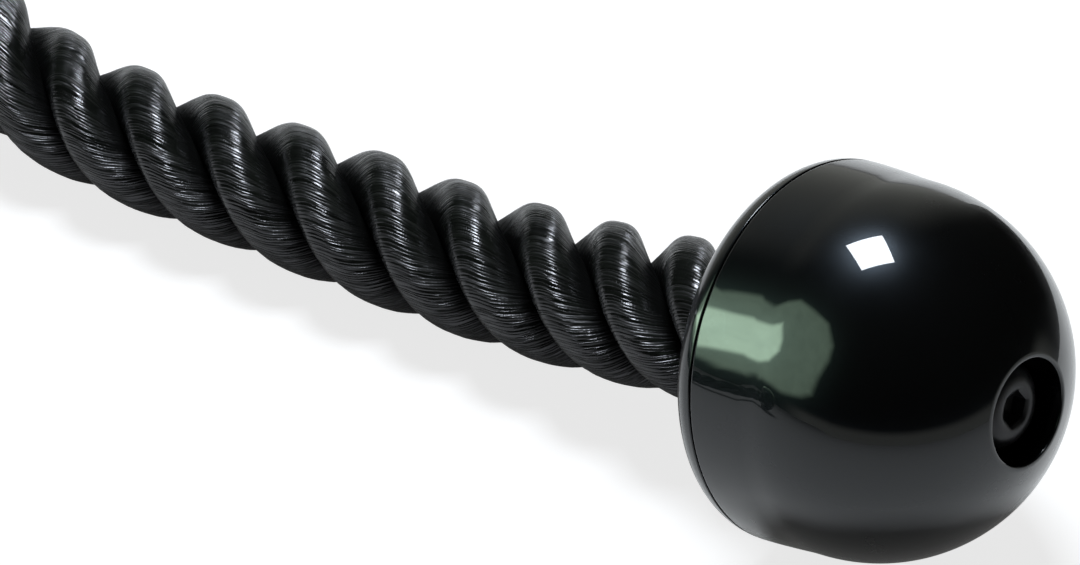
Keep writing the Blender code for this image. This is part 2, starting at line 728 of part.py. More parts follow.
def main():
    """Build the whole attachment."""
    clear_scene()
    assembly = empty("assembly", None, Matrix.Identity(4))
    build_saddle(assembly)
    build_cross_bolt(assembly)
    swing_axis = empty("swing_axis", assembly, Matrix.Identity(4))
    build_yoke(swing_axis)
    build_swivel(swing_axis, empty("eye_axis", swing_axis, along_y(0)))
    for side, sign in SIDES:
        build_arm(side, sign, assembly)
    settle_on_floor(assembly)
    for joint in [node for node in bpy.context.scene.objects if node.type == "EMPTY"]:
        place = [round(value, 5) for value in joint.matrix_world.translation]
        axis = [round(value, 5) for value in joint.matrix_world.col[2][:3]]
        print(joint.name, place, axis)


main()
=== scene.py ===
"""Dressed model of a triceps rope attachment: laid rope, stopper balls, sleeve, yoke and swivel eye.

Every length is in metres and every piece stands where its CAD node stands. A surface is worked out as
a grid of points in numpy, in a local frame, and is then put in its place in its mesh.
"""

import json
import logging
import math
from collections.abc import Callable
from dataclasses import dataclass
from enum import Enum

import bmesh
import bpy
import numpy as np
from mathutils import Matrix, Vector

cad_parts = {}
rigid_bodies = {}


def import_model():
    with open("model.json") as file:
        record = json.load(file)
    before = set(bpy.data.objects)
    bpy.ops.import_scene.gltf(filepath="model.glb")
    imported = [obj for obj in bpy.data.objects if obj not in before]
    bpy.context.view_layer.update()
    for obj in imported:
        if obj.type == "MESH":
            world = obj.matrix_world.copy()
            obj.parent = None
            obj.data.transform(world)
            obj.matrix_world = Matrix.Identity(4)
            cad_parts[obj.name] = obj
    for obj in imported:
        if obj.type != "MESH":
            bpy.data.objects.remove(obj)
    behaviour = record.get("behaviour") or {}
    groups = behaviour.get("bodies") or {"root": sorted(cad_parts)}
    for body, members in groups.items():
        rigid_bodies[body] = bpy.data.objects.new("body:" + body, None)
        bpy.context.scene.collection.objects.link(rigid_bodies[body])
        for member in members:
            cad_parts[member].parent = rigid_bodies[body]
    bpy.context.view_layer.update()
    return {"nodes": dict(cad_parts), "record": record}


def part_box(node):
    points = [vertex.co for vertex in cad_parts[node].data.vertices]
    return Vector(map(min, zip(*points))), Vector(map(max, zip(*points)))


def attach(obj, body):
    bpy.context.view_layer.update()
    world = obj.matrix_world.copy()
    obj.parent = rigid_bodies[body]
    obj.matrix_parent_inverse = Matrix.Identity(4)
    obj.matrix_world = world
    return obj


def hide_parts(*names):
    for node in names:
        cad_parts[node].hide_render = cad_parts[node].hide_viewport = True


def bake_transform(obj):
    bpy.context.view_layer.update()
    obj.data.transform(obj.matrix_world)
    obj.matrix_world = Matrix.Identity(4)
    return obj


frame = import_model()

LOG = logging.getLogger("rope_attachment")
MM = 0.001
UP = Vector((0, 0, 1))
WHITE = (1, 1, 1, 1)


# Shader expressions


def operator_pair(operation: str) -> tuple[Callable, Callable]:
    """An operator that adds a Math node, and its reflected form, as in mask - 1 and 1 - mask.

    Args:
        operation: what the Math node works out.

    Returns:
        The operator and its reflected form.
    """
    def direct(value: "Value", other: object) -> "Value":
        """The node with the value as its first term."""
        return value.math(operation, other)

    def reflected(value: "Value", other: object) -> "Value":
        """The node with the value as its second term."""
        return value.graph.node("ShaderNodeMath", {"operation": operation}, {0: other, 1: value})

    return direct, reflected


class Value:
    """A shader socket that can be used in a Python expression; each operator adds a Math node."""

    def __init__(self, graph: "Graph", socket: bpy.types.NodeSocket) -> None:
        """Keep the graph and the socket that carries the value."""
        self.graph = graph
        self.socket = socket

    __add__, __radd__ = operator_pair("ADD")
    __sub__, __rsub__ = operator_pair("SUBTRACT")
    __mul__, __rmul__ = operator_pair("MULTIPLY")
    __truediv__, __rtruediv__ = operator_pair("DIVIDE")
    __pow__, __rpow__ = operator_pair("POWER")

    def math(self, operation: str, *others: object) -> "Value":
        """Add a Math node with this value and any other terms, such as SINE or MAXIMUM."""
        return self.graph.node("ShaderNodeMath", {"operation": operation}, dict(enumerate((self, *others))))

    def step(self, low: float, high: float) -> "Value":
        """Smooth rise from 0 at low to 1 at high."""
        return self.graph.node("ShaderNodeMapRange", {"interpolation_type": "SMOOTHSTEP"},
                               {"Value": self, "From Min": low, "From Max": high})


class Graph:
    """The node tree of a material or of the world, with one method that adds any node."""

    def __init__(self, tree: bpy.types.NodeTree) -> None:
        """Keep the tree."""
        self.tree = tree

    def fill(self, node: bpy.types.Node, sockets: dict) -> None:
        """Set or link a node's sockets, which are given by name or number.

        Args:
            node: the node.
            sockets: values, colours or links by socket name or number.
        """
        for name, value in sockets.items():
            if isinstance(value, Value):
                self.tree.links.new(value.socket, node.inputs[name])
            else:
                node.inputs[name].default_value = value

    def raw(self, kind: str, settings: dict | None = None, sockets: dict | None = None) -> bpy.types.Node:
        """Add a node, set it up and fill or link its sockets.

        Args:
            kind: the node's type name.
            settings: attributes of the node, set before its sockets are touched.
            sockets: values, colours or links by socket name or number.

        Returns:
            The new node.
        """
        made = self.tree.nodes.new(kind)
        for name, value in (settings or {}).items():
            setattr(made, name, value)
        self.fill(made, sockets or {})
        return made

    def node(self, kind: str, settings: dict | None = None, sockets: dict | None = None,
             output: str | int = 0) -> Value:
        """Add a node as raw does and return one of its outputs as a value."""
        return Value(self, self.raw(kind, settings, sockets).outputs[output])

    def point(self) -> Value:
        """Position in the piece's own frame, in metres."""
        return self.node("ShaderNodeTexCoord", output="Object")

    def attribute(self, name: str) -> Value:
        """A number that the mesh holds for each of its points."""
        return self.node("ShaderNodeAttribute", {"attribute_name": name}, output="Fac")

    def vector(self, x: object, y: object, z: object) -> Value:
        """A vector from three numbers or values."""
        return self.node("ShaderNodeCombineXYZ", None, {0: x, 1: y, 2: z})

    def parts(self, vector: Value) -> tuple[Value, Value, Value]:
        """The three components of a vector."""
        made = self.raw("ShaderNodeSeparateXYZ", None, {0: vector})
        return tuple(Value(self, made.outputs[i]) for i in range(3))

    def noise(self, vector: Value, scale: float, detail: float = 2.0, roughness: float = 0.5) -> Value:
        """Soft noise between 0 and 1 with a mean of a half."""
        return self.node("ShaderNodeTexNoise", None,
                         {"Vector": vector, "Scale": scale, "Detail": detail, "Roughness": roughness}, "Fac")

    def blend(self, share: object, low: tuple, high: tuple) -> Value:
        """Mix of two colours; share 0 gives the first. The Mix node's colours are its sockets 6 and 7."""
        return self.node("ShaderNodeMix", {"data_type": "RGBA"}, {0: share, 6: (*low, 1), 7: (*high, 1)}, 2)

    def bump(self, height: Value, distance: float) -> Value:
        """A normal bent by a height map; distance is the height of 1 in metres."""
        return self.node("ShaderNodeBump", None, {"Height": height, "Distance": distance, "Strength": 1.0})


# Finishes


class Slot(Enum):
    """Material slots of the record."""

    ROPE = "rope"
    GLOSS = "gloss_plastic"
    CHROME = "chrome_steel"
    BLACK = "black_steel"
    ZINC = "zinc_steel"
    BRONZE = "bronze"


@dataclass(frozen=True)
class Finish:
    """A named material with a Principled shader, and its slot in the record."""

    name: str
    slot: Slot

    def sockets(self, graph: Graph) -> dict:
        """The shader's sockets, each with its number, colour or expression."""
        raise NotImplementedError

    def build(self) -> bpy.types.Material:
        """Make the material.

        Returns:
            The material, with its shader filled.
        """
        made = bpy.data.materials.new(self.name)
        made.use_nodes = True
        graph = Graph(made.node_tree)
        graph.fill(graph.tree.nodes["Principled BSDF"], self.sockets(graph))
        return made


@dataclass(frozen=True)
class RopeFinish(Finish):
    """Black multifilament rope: yarns that run along the rope and break the light into dashes.

    Spacings are in millimetres across the yarns, as the piece's Yarn map is. Heights are in metres.
    """

    dark: tuple = (0.0008, 0.0009, 0.0008)
    light: tuple = (0.0108, 0.0127, 0.0098)
    yarn_spacing: float = 0.80
    filament_spacing: float = 0.26
    yarn_height: float = 0.19 * MM
    filament_height: float = 0.05 * MM
    crimp_height: float = 0.13 * MM
    roughness: float = 0.25
    roughness_spread: float = 0.16
    drift: float = 2.2
    fine_drift: float = 0.9
    # Painted shade in the grooves: how much of a dark, dull copy of the rope is mixed in, and its roughness.
    painted_shade_share: float = 0.85
    painted_shade_roughness: float = 0.9

    def sockets(self, graph: Graph) -> dict:
        """Yarns that wander across the map, each with a height of its own that swells and crimps.

        Args:
            graph: the material's nodes.

        Returns:
            The shader's sockets, each with its number, colour or expression.
        """
        across, along, _ = graph.parts(graph.node("ShaderNodeUVMap", {"uv_map": "Yarn"}))
        slow = graph.noise(graph.vector(across * 0.35, along * 0.09, 0.0), 1.0, 3.0) - 0.5
        quick = graph.noise(graph.vector(across * 1.1, along * 0.28, 4.0), 1.0) - 0.5
        wandered = across + slow * self.drift + quick * self.fine_drift
        number = (wandered / self.yarn_spacing).math("FLOOR")
        lift = graph.node("ShaderNodeTexWhiteNoise", {"noise_dimensions": "1D"}, {"W": number}, "Value")
        ridge = ((wandered / self.yarn_spacing - number) * math.pi).math("SINE") ** 0.7
        swell = graph.noise(graph.vector(number * 7.3, along * 0.38, 1.0), 1.0, 2.0, 0.6)
        yarn = ridge * (0.4 + 0.6 * lift) * (0.35 + 1.3 * swell)
        filament = graph.noise(graph.vector(wandered / self.filament_spacing, along * 0.22, 2.0), 1.0, 2.0, 0.6)
        crimp = graph.noise(graph.vector(number * 3.1, along * 0.30, 6.0), 1.0, 1.0)
        height = (yarn + filament * (self.filament_height / self.yarn_height)
                  + crimp * (self.crimp_height / self.yarn_height))
        tone = graph.noise(graph.vector(across * 0.12, along * 0.10, 9.0), 1.0, 3.0)
        # Painted shade in the grooves: the base colour falls to a tenth where the groove shade is full.
        painted_shade_factor = 1.0 - 0.9 * graph.attribute("hollow")
        # Painted shade between the yarns: the base colour is lighter on their ridges and darker where they fall
        # off, over the random tone.
        tone_and_painted_shade = (tone * 0.75 + yarn.step(0.15, 0.85) * 0.35 - 0.1) * painted_shade_factor
        return {
            "Base Color": graph.blend(tone_and_painted_shade.math("MINIMUM", 1.0).math("MAXIMUM", 0.0), self.dark, self.light),
            "Roughness": self.roughness + self.roughness_spread * (filament - 0.5 + lift - 0.5),
            "Normal": graph.bump(height, self.yarn_height),
            "Specular IOR Level": 0.6,
            "Specular Tint": (0.95, 0.94, 1.0, 1),
        }

    def build(self) -> bpy.types.Material:
        """Make the material, with a dark, dull shader mixed in as painted shade down in the grooves.

        Returns:
            The material.
        """
        made = super().build()
        graph = Graph(made.node_tree)
        lit = Value(graph, graph.tree.nodes["Principled BSDF"].outputs[0])
        # Painted shade: a dark, dull copy of the rope, mixed in where the groove shade is.
        painted_shade_bsdf = graph.node("ShaderNodeBsdfPrincipled", None, {
            "Base Color": (*self.dark, 1), "Roughness": self.painted_shade_roughness, "Specular IOR Level": 0.05})
        both = graph.node("ShaderNodeMixShader", None,
                          {0: graph.attribute("hollow") * self.painted_shade_share, 1: lit, 2: painted_shade_bsdf})
        graph.fill(graph.tree.nodes["Material Output"], {0: both})
        return made


@dataclass(frozen=True)
class GlossPlastic(Finish):
    """Black moulded plastic with a polished skin, a faint orange peel and a trace of handling haze."""

    colour: tuple = (0.0006, 0.0006, 0.0007)
    speck_colour: tuple = (0.006, 0.006, 0.006)
    peel_scale: float = 210.0
    haze_scale: float = 60.0
    speck_scale: float = 1900.0
    peel_height: float = 0.0035 * MM

    def sockets(self, graph: Graph) -> dict:
        """A dull body under a clear coat that carries the gloss.

        Args:
            graph: the material's nodes.

        Returns:
            The shader's sockets, each with its number, colour or expression.
        """
        point = graph.point()
        haze = graph.noise(point, self.haze_scale, 5.0, 0.65)
        speck = graph.noise(point, self.speck_scale, 2.0, 0.6)
        return {
            "Base Color": graph.blend(speck.step(0.68, 0.8) * 0.4, self.colour, self.speck_colour),
            "Roughness": 0.22 + 0.14 * haze,
            "Specular IOR Level": 0.15,
            "Specular Tint": (0.66, 0.82, 1.0, 1),
            "Coat Weight": 0.97 + 0.03 * haze,
            "Coat Roughness": 0.018,
            "Coat IOR": 1.5,
            "Normal": graph.bump(graph.noise(point, self.peel_scale), self.peel_height),
        }

    def build(self) -> bpy.types.Material:
        """Make the material; an export that bakes nothing reads the number under the coat's link.

        Returns:
            The material.
        """
        made = super().build()
        made.node_tree.nodes["Principled BSDF"].inputs["Coat Weight"].default_value = 1.0
        return made


@dataclass(frozen=True)
class PlatedSteel(Finish):
    """Plated steel: bright chrome or dull zinc, by its colours, roughness and fine scratches."""

    bright: tuple
    dull: tuple
    roughness: float
    spread: float
    cloud_scale: float
    scratch_height: float
    scratch_scale: tuple = (900.0, 5200.0, 900.0)
    pit_scale: float = 1500.0

    def sockets(self, graph: Graph) -> dict:
        """Clouds of duller plating, scratches drawn out across Y, and pits.

        Args:
            graph: the material's nodes.

        Returns:
            The shader's sockets, each with its number, colour or expression.
        """
        point = graph.point()
        cloud = graph.noise(point, self.cloud_scale, 4.0, 0.6)
        drawn = graph.vector(*(part * scale for part, scale in zip(graph.parts(point), self.scratch_scale)))
        scratch = graph.noise(drawn, 1.0, 3.0, 0.7)
        pit = graph.noise(point, self.pit_scale)
        return {
            "Base Color": graph.blend(cloud.step(0.35, 0.7), self.bright, self.dull),
            "Metallic": 1.0,
            "Roughness": self.roughness + self.spread * (cloud - 0.4).math("MAXIMUM", 0.0) + 0.06 * scratch,
            "Normal": graph.bump(scratch * 0.6 + pit * 0.4, self.scratch_height),
        }


@dataclass(frozen=True)
class BlackSteel(Finish):
    """Steel with a black coat: a fine-textured powder coat, or a smoother oxide on fasteners."""

    colour: tuple
    metallic: float
    roughness: float
    grain_scale: float
    grain_height: float
    wear: float
    patch_scale: float = 130.0
    bare_steel: tuple = (0.28, 0.28, 0.29)

    def sockets(self, graph: Graph) -> dict:
        """A grained coat that has worn thin in patches where the edge attribute says.

        Args:
            graph: the material's nodes.

        Returns:
            The shader's sockets, each with its number, colour or expression.
        """
        point = graph.point()
        grain = graph.noise(point, self.grain_scale, 3.0, 0.55)
        patch = graph.noise(point, self.patch_scale, 4.0, 0.6)
        worn = graph.attribute("edge") * patch.step(0.5, 0.75) * self.wear
        return {
            "Base Color": graph.blend(worn, self.colour, self.bare_steel),
            "Metallic": self.metallic + (1.0 - self.metallic) * worn,
            "Roughness": self.roughness + 0.14 * (patch - 0.5) + 0.08 * (grain - 0.5),
            "Normal": graph.bump(grain, self.grain_height),
        }


@dataclass(frozen=True)
class TurnedBronze(Finish):
    """Bearing bronze with turning marks round the axis and a brown tarnish."""

    clean: tuple = (0.56, 0.36, 0.15)
    tarnished: tuple = (0.30, 0.17, 0.07)
    mark_scale: float = 4200.0
    tarnish_scale: float = 190.0
    mark_height: float = 0.006 * MM

    def sockets(self, graph: Graph) -> dict:
        """Marks that change along Y alone, under clouds of tarnish.

        Args:
            graph: the material's nodes.

        Returns:
            The shader's sockets, each with its number, colour or expression.
        """
        point = graph.point()
        marks = graph.noise(graph.vector(0.0, graph.parts(point)[1] * self.mark_scale, 0.0), 1.0)
        tarnish = graph.noise(point, self.tarnish_scale, 4.0, 0.6)
        return {
            "Base Color": graph.blend(tarnish.step(0.4, 0.7), self.clean, self.tarnished),
            "Metallic": 1.0,
            "Roughness": 0.26 + 0.2 * tarnish,
            "Normal": graph.bump(marks, self.mark_height),
        }


@dataclass(frozen=True)
class NylonInsert(Finish):
    """Off-white nylon of a lock nut's insert."""

    pale: tuple = (0.55, 0.56, 0.54)
    grey: tuple = (0.42, 0.42, 0.39)
    tone_scale: float = 420.0

    def sockets(self, graph: Graph) -> dict:
        """A cloudy, half dull surface."""
        tone = graph.noise(graph.point(), self.tone_scale, 3.0)
        return {"Base Color": graph.blend(tone, self.pale, self.grey), "Roughness": 0.42 + 0.1 * tone}


class Finishes:
    """One built material for each finish, shared by all the pieces that have it."""

    def __init__(self) -> None:
        """List the finishes; the first of a slot is the one for its plain CAD nodes."""
        self.kinds: dict[str, Finish] = {
            "rope": RopeFinish("laid_rope", Slot.ROPE),
            "gloss": GlossPlastic("gloss_plastic", Slot.GLOSS),
            "chrome": PlatedSteel("bright_chrome", Slot.CHROME, (0.77, 0.78, 0.80), (0.66, 0.67, 0.69),
                                  0.05, 0.16, 85.0, 0.0012 * MM),
            "zinc": PlatedSteel("zinc_plate", Slot.ZINC, (0.66, 0.67, 0.68), (0.47, 0.48, 0.50),
                                0.24, 0.30, 240.0, 0.006 * MM),
            "powder": BlackSteel("powder_coat", Slot.BLACK, (0.011, 0.011, 0.012), 0.0, 0.36,
                                 1300.0, 0.03 * MM, 0.75),
            "oxide": BlackSteel("black_oxide", Slot.BLACK, (0.022, 0.022, 0.024), 0.55, 0.30,
                                2600.0, 0.006 * MM, 0.6),
            "bronze": TurnedBronze("turned_bronze", Slot.BRONZE),
            "nylon": NylonInsert("nylon_insert", Slot.GLOSS),
        }
        self.made: dict[str, bpy.types.Material] = {}

    def dress(self, piece: bpy.types.Object, name: str) -> None:
        """Give a piece a finish.

        Args:
            piece: the piece.
            name: the finish's name in the list.
        """
        if name not in self.made:
            self.made[name] = self.kinds[name].build()
        piece.data.materials.clear()
        piece.data.materials.append(self.made[name])

    def fit(self, piece: bpy.types.Object, name: str, body: str, node: str) -> None:
        """Give a piece a finish, let it ride on a body and stand for a CAD node.

        Args:
            piece: the piece.
            name: the finish's name in the list.
            body: the body that it moves with.
            node: the CAD node that it hides.
        """
        self.dress(piece, name)
        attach(piece, body)
        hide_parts(node)
        LOG.info("%s: %d faces in %s, on %s for %s", piece.name, len(piece.data.polygons), name, body, node)

    def dress_rest(self) -> None:
        """Give every CAD node that still shows the finish of its slot."""
        slots = {row["node"]: row["material_slot"] for row in frame["record"]["subparts"]}
        for node, piece in frame["nodes"].items():
            if not piece.hide_render:
                name = next(name for name, kind in self.kinds.items() if kind.slot.value == slots[node])
                self.dress(piece, name)
                LOG.info("%s: CAD node with a finish for slot %s", node, slots[node])


# Surfaces


def fillet(corners: list, radius: float | list, steps: int = 4) -> np.ndarray:
    """Round the corners of a closed outline.

    Each corner p becomes the curve (1-t)^2 a + 2t(1-t) p + t^2 b between the points a and b that lie
    one radius away on its two sides, and a support point follows on each side to keep flats flat.

    Args:
        corners: (across, up) points in order.
        radius: one radius, or one for each corner.
        steps: pieces of each curve.

    Returns:
        The rounded outline, as rows of points.
    """
    point = np.asarray(corners, float)
    reach = np.broadcast_to(np.asarray(radius, float), len(point))[:, None]
    before = np.roll(point, 1, axis=0) - point
    after = np.roll(point, -1, axis=0) - point
    span_before = np.linalg.norm(before, axis=1, keepdims=True)
    span_after = np.linalg.norm(after, axis=1, keepdims=True)
    shorter = np.minimum(span_before, span_after)
    room = np.minimum(reach, 0.46 * shorter)
    support = np.minimum(0.12 * MM, 0.04 * shorter)
    start = point + before / span_before * room
    end = point + after / span_after * room
    lead_in = start + before / span_before * support
    lead_out = end + after / span_after * support
    t = np.linspace(0, 1, steps + 1)[None, :, None]
    curve = (1 - t) ** 2 * start[:, None] + 2 * t * (1 - t) * point[:, None] + t**2 * end[:, None]
    return np.concatenate([lead_in[:, None], curve, lead_out[:, None]], axis=1).reshape(-1, 2)


def round_corner(before: tuple, corner: tuple, after: tuple, radius: float) -> np.ndarray:
    """One rounded corner of an open outline, as fillet makes it."""
    return fillet([before, corner, after], [0, radius, 0], 6)[9:18]


def quarter(centre: tuple, radius: float, start: float, end: float, count: int) -> list:
    """Arc of a section.

    The point at the angle t is (centre z + radius sin t, centre r + radius cos t).

    Args:
        centre: height and radius of the arc's centre.
        radius: the arc's own radius.
        start: first angle in degrees.
        end: last angle in degrees.
        count: number of points.

    Returns:
        Rows of (height, radius), as ring_stack takes them.
    """
    turn = np.radians(np.linspace(start, end, count))
    return list(zip(centre[0] + radius * np.sin(turn), centre[1] + radius * np.cos(turn)))


def around(count: int) -> np.ndarray:
    """Angles of so many columns round a full turn."""
    return np.linspace(0, 2 * np.pi, count, endpoint=False)


def rings(radius: np.ndarray, height: np.ndarray, angle: np.ndarray) -> np.ndarray:
    """Rings about Z, one to a row: the point at the angle a is (r cos a, r sin a, z)."""
    radius, height, angle = np.broadcast_arrays(radius, height, angle)
    return np.stack([radius * np.cos(angle), radius * np.sin(angle), height], axis=2)


def turned(outline: np.ndarray, segments: int) -> np.ndarray:
    """Turn an outline, given as rows of (radius, height), about Z."""
    radius, height = np.asarray(outline, float).T[..., None]
    return rings(radius, height, around(segments))


def ring_stack(rows: list, angle: np.ndarray) -> np.ndarray:
    """Stack rings about Z that are given as (height, radius), with one radius or one for each angle."""
    radius = np.stack([np.broadcast_to(np.asarray(r, float), angle.shape) for _, r in rows])
    return rings(radius, np.array([[z] for z, _ in rows], float), angle)


def placed(grid: np.ndarray, matrix: Matrix) -> np.ndarray:
    """Carry a grid of points into the frame's axes: matrix times point."""
    turn = np.array(matrix)
    return grid @ turn[:3, :3].T + turn[:3, 3]


@dataclass
class Skin:
    """A mesh from a grid of points, welded where rows or columns meet.

    The sharp angle, in degrees, is the one from which an edge is shaded sharp.
    """

    name: str
    grid: np.ndarray
    close_rows: bool = False
    close_columns: bool = True
    caps: bool = False
    sharp_angle: float | None = None

    def faces(self) -> list:
        """Corner numbers: quads (i, j), (i+1, j), (i+1, j+1), (i, j+1), and a fan on each capped end.

        Returns:
            One list of corner numbers for each face.
        """
        rows, columns = self.grid.shape[:2]
        number = np.arange(rows * columns).reshape(rows, columns)
        if self.close_rows:
            number = np.vstack([number, number[:1]])
        if self.close_columns:
            number = np.hstack([number, number[:, :1]])
        quads = np.stack([number[:-1, :-1], number[1:, :-1], number[1:, 1:], number[:-1, 1:]], axis=2)
        made = quads.reshape(-1, 4).tolist()
        if self.caps:
            centre = np.full(columns, rows * columns)
            made += np.stack([centre, number[0, :-1], number[0, 1:]], axis=1).tolist()
            made += np.stack([centre + 1, number[-1, 1:], number[-1, :-1]], axis=1).tolist()
        return made

    def link(self) -> bpy.types.Object:
        """Put the grid, and the centres of its caps, into a smooth mesh and link its object.

        Returns:
            The new object, linked to the scene.
        """
        points = self.grid.reshape(-1, 3)
        if self.caps:
            points = np.vstack([points, self.grid[0].mean(axis=0), self.grid[-1].mean(axis=0)])
        data = bpy.data.meshes.new(self.name)
        data.from_pydata(points.tolist(), [], self.faces())
        data.shade_smooth()
        made = bpy.data.objects.new(self.name, data)
        bpy.context.scene.collection.objects.link(made)
        return made

    def build(self, weld: bool = True) -> bpy.types.Object:
        """Make the piece, close its poles and turn its faces outwards.

        Args:
            weld: merge points that coincide, such as poles.

        Returns:
            The new object, linked to the scene.
        """
        made = self.link()
        if weld:
            work = bmesh.new()
            work.from_mesh(made.data)
            bmesh.ops.remove_doubles(work, verts=work.verts, dist=1e-6)
            bmesh.ops.dissolve_degenerate(work, edges=work.edges, dist=1e-7)
            bmesh.ops.recalc_face_normals(work, faces=work.faces)
            work.to_mesh(made.data)
            work.free()
        turn_outwards(made.data)
        shade(made.data, self.sharp_angle)
        return made


def shade(data: bpy.types.Mesh, sharp_angle: float | None) -> None:
    """Shade a mesh smooth, and sharp where it turns by an angle in degrees or more.

    Args:
        data: the mesh.
        sharp_angle: the angle, or None for smooth all over.
    """
    data.shade_smooth()
    if sharp_angle is not None:
        data.set_sharp_from_angle(angle=math.radians(sharp_angle))


def read_points(data: bpy.types.Mesh) -> np.ndarray:
    """The places of a mesh's points.

    Args:
        data: the mesh.

    Returns:
        Rows of coordinates.
    """
    points = np.empty(len(data.vertices) * 3)
    data.vertices.foreach_get("co", points)
    return points.reshape(-1, 3)


def turn_outwards(data: bpy.types.Mesh) -> None:
    """Flip a closed mesh whose volume, the sum of a . (b x c) / 6 over its triangles, is negative.

    Args:
        data: the mesh.
    """
    data.calc_loop_triangles()
    corners = np.empty(len(data.loop_triangles) * 3, np.int32)
    data.loop_triangles.foreach_get("vertices", corners)
    a, b, c = read_points(data)[corners.reshape(-1, 3).T]
    if np.einsum("ij,ij->", a, np.cross(b, c)) < 0:
        data.flip_normals()


def drill(piece: bpy.types.Object, centre: Vector, axis: Vector, radius: float, length: float) -> None:
    """Cut a round hole through a piece with a hidden cutter and keep the result in the mesh.

    Args:
        piece: what is drilled.
        centre: the hole's centre.
        axis: the hole's direction.
        radius: the hole's radius.
        length: the cutter's length.
    """
    turn = axis.to_track_quat("Z", "Y").to_matrix().to_4x4()
    outline = [(0, -length / 2), (radius, -length / 2), (radius, length / 2), (0, length / 2)]
    cutter = Skin(piece.name + "_drill", placed(turned(outline, 72), Matrix.Translation(centre) @ turn)).build()
    cut = piece.modifiers.new("hole", "BOOLEAN")
    cut.object = cutter
    cut.operation = "DIFFERENCE"
    cut.solver = "EXACT"
    keep_result(piece)
    bpy.data.objects.remove(cutter)


def keep_result(piece: bpy.types.Object) -> None:
    """Replace a piece's mesh by the result of its modifiers.

    Args:
        piece: the piece, whose modifiers are then gone.
    """
    graph = bpy.context.evaluated_depsgraph_get()
    result = bpy.data.meshes.new_from_object(piece.evaluated_get(graph))
    piece.modifiers.clear()
    piece.data = result


def mark(piece: bpy.types.Object, name: str, values: np.ndarray) -> None:
    """Store one number per point under a name that a material reads."""
    made = piece.data.attributes.new(name, "FLOAT", "POINT")
    made.data.foreach_set("value", values.astype(np.float32))


def smooth_rise(share: np.ndarray) -> np.ndarray:
    """Smooth rise t t (3 - 2 t) from 0 to 1, where t is the share held between 0 and 1."""
    held = np.clip(share, 0, 1)
    return held * held * (3 - 2 * held)


def unit(vectors: np.ndarray) -> np.ndarray:
    """Vectors of length 1 in the same directions."""
    return vectors / np.linalg.norm(vectors, axis=-1, keepdims=True)


# Where the CAD stands


def middle(node: str) -> Vector:
    """Centre of a CAD node's box."""
    low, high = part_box(node)
    return (low + high) / 2


SWING = Vector((0, middle("cross_bolt").y, middle("saddle_tube").z))
TOUCH_GAP = 0.3 * MM
ROPE_DIAMETER = 31.75 * MM
ROPE_RADIUS = ROPE_DIAMETER / 2
SLEEVE_INNER = ROPE_RADIUS + TOUCH_GAP
SLEEVE_WALL = 2.5 * MM
SLEEVE_BEND_RADIUS = 45 * MM
SLEEVE_HALF_BEND = math.radians(60)
SLEEVE_HALF_LENGTH = SLEEVE_BEND_RADIUS * SLEEVE_HALF_BEND + 6 * MM
COVER_BACK = 6.9 * MM
EAR_OUTER = 23.175 * MM
YOKE_REACH = 38 * MM
BOLT_HOLE = 5.15 * MM

# Route of one arm from the sleeve's mouth, as in the part's source: out to the side, back and up
ARM_ROUTE = (
    (0.0000, 0.0000, 0.0000), (0.0090, -0.0156, 0.0000), (0.0180, -0.0312, -0.0034),
    (0.0270, -0.0468, -0.0090), (0.0365, -0.0621, -0.0138), (0.0466, -0.0770, -0.0156),
    (0.0572, -0.0915, -0.0157), (0.0681, -0.1058, -0.0157), (0.0791, -0.1200, -0.0157),
    (0.0902, -0.1342, -0.0157), (0.1012, -0.1485, -0.0155), (0.1118, -0.1629, -0.0141),
    (0.1220, -0.1775, -0.0113), (0.1314, -0.1923, -0.0071), (0.1384, -0.2046, -0.0030),
    (0.1442, -0.2148, 0.0004), (0.1477, -0.2227, 0.0030),
)


def sleeve_line(distance: np.ndarray) -> np.ndarray:
    """Points of the sleeve's centre line at signed distances from its crown: an arc with straight ends.

    Args:
        distance: distances, positive towards the right arm.

    Returns:
        Rows of points.
    """
    turn = np.clip(distance / SLEEVE_BEND_RADIUS, -SLEEVE_HALF_BEND, SLEEVE_HALF_BEND)
    rest = distance - turn * SLEEVE_BEND_RADIUS
    x = SLEEVE_BEND_RADIUS * np.sin(turn) + rest * np.cos(turn)
    y = SLEEVE_BEND_RADIUS * (np.cos(turn) - 1) - rest * np.sin(turn)
    return np.stack([x, y, np.zeros_like(x)], axis=1) + np.array(SWING)


def sleeve_mouth(sign: int) -> np.ndarray:
    """End of the sleeve's centre line on the right (1) or on the left (-1)."""
    return sleeve_line(np.array([sign * SLEEVE_HALF_LENGTH]))[0]


def arm_line(sign: int) -> np.ndarray:
    """Smooth points of an arm's centre line: a Catmull-Rom curve through the route's points.

    Args:
        sign: 1 for the right arm and -1 for the left.

    Returns:
        Rows of points from the mouth on.
    """
    knots = (np.array(ARM_ROUTE) + (sleeve_mouth(1) - np.array(SWING))) * (sign, 1, 1) + np.array(SWING)
    knots = np.vstack([2 * knots[0] - knots[1], knots, 2 * knots[-1] - knots[-2]])
    t = np.linspace(0, 1, 24, endpoint=False)[None, :, None]
    p0, p1, p2, p3 = (knots[i : len(knots) - 3 + i, None, :] for i in range(4))
    curve = 0.5 * (2 * p1 + (p2 - p0) * t + (2 * p0 - 5 * p1 + 4 * p2 - p3) * t**2
                   + (3 * p1 - p0 - 3 * p2 + p3) * t**3)
    return np.vstack([curve.reshape(-1, 3), knots[-2]])


def line_distance(line: np.ndarray) -> np.ndarray:
    """Distance along a line at each of its points."""
    return np.concatenate([[0], np.cumsum(np.linalg.norm(np.diff(line, axis=0), axis=1))])


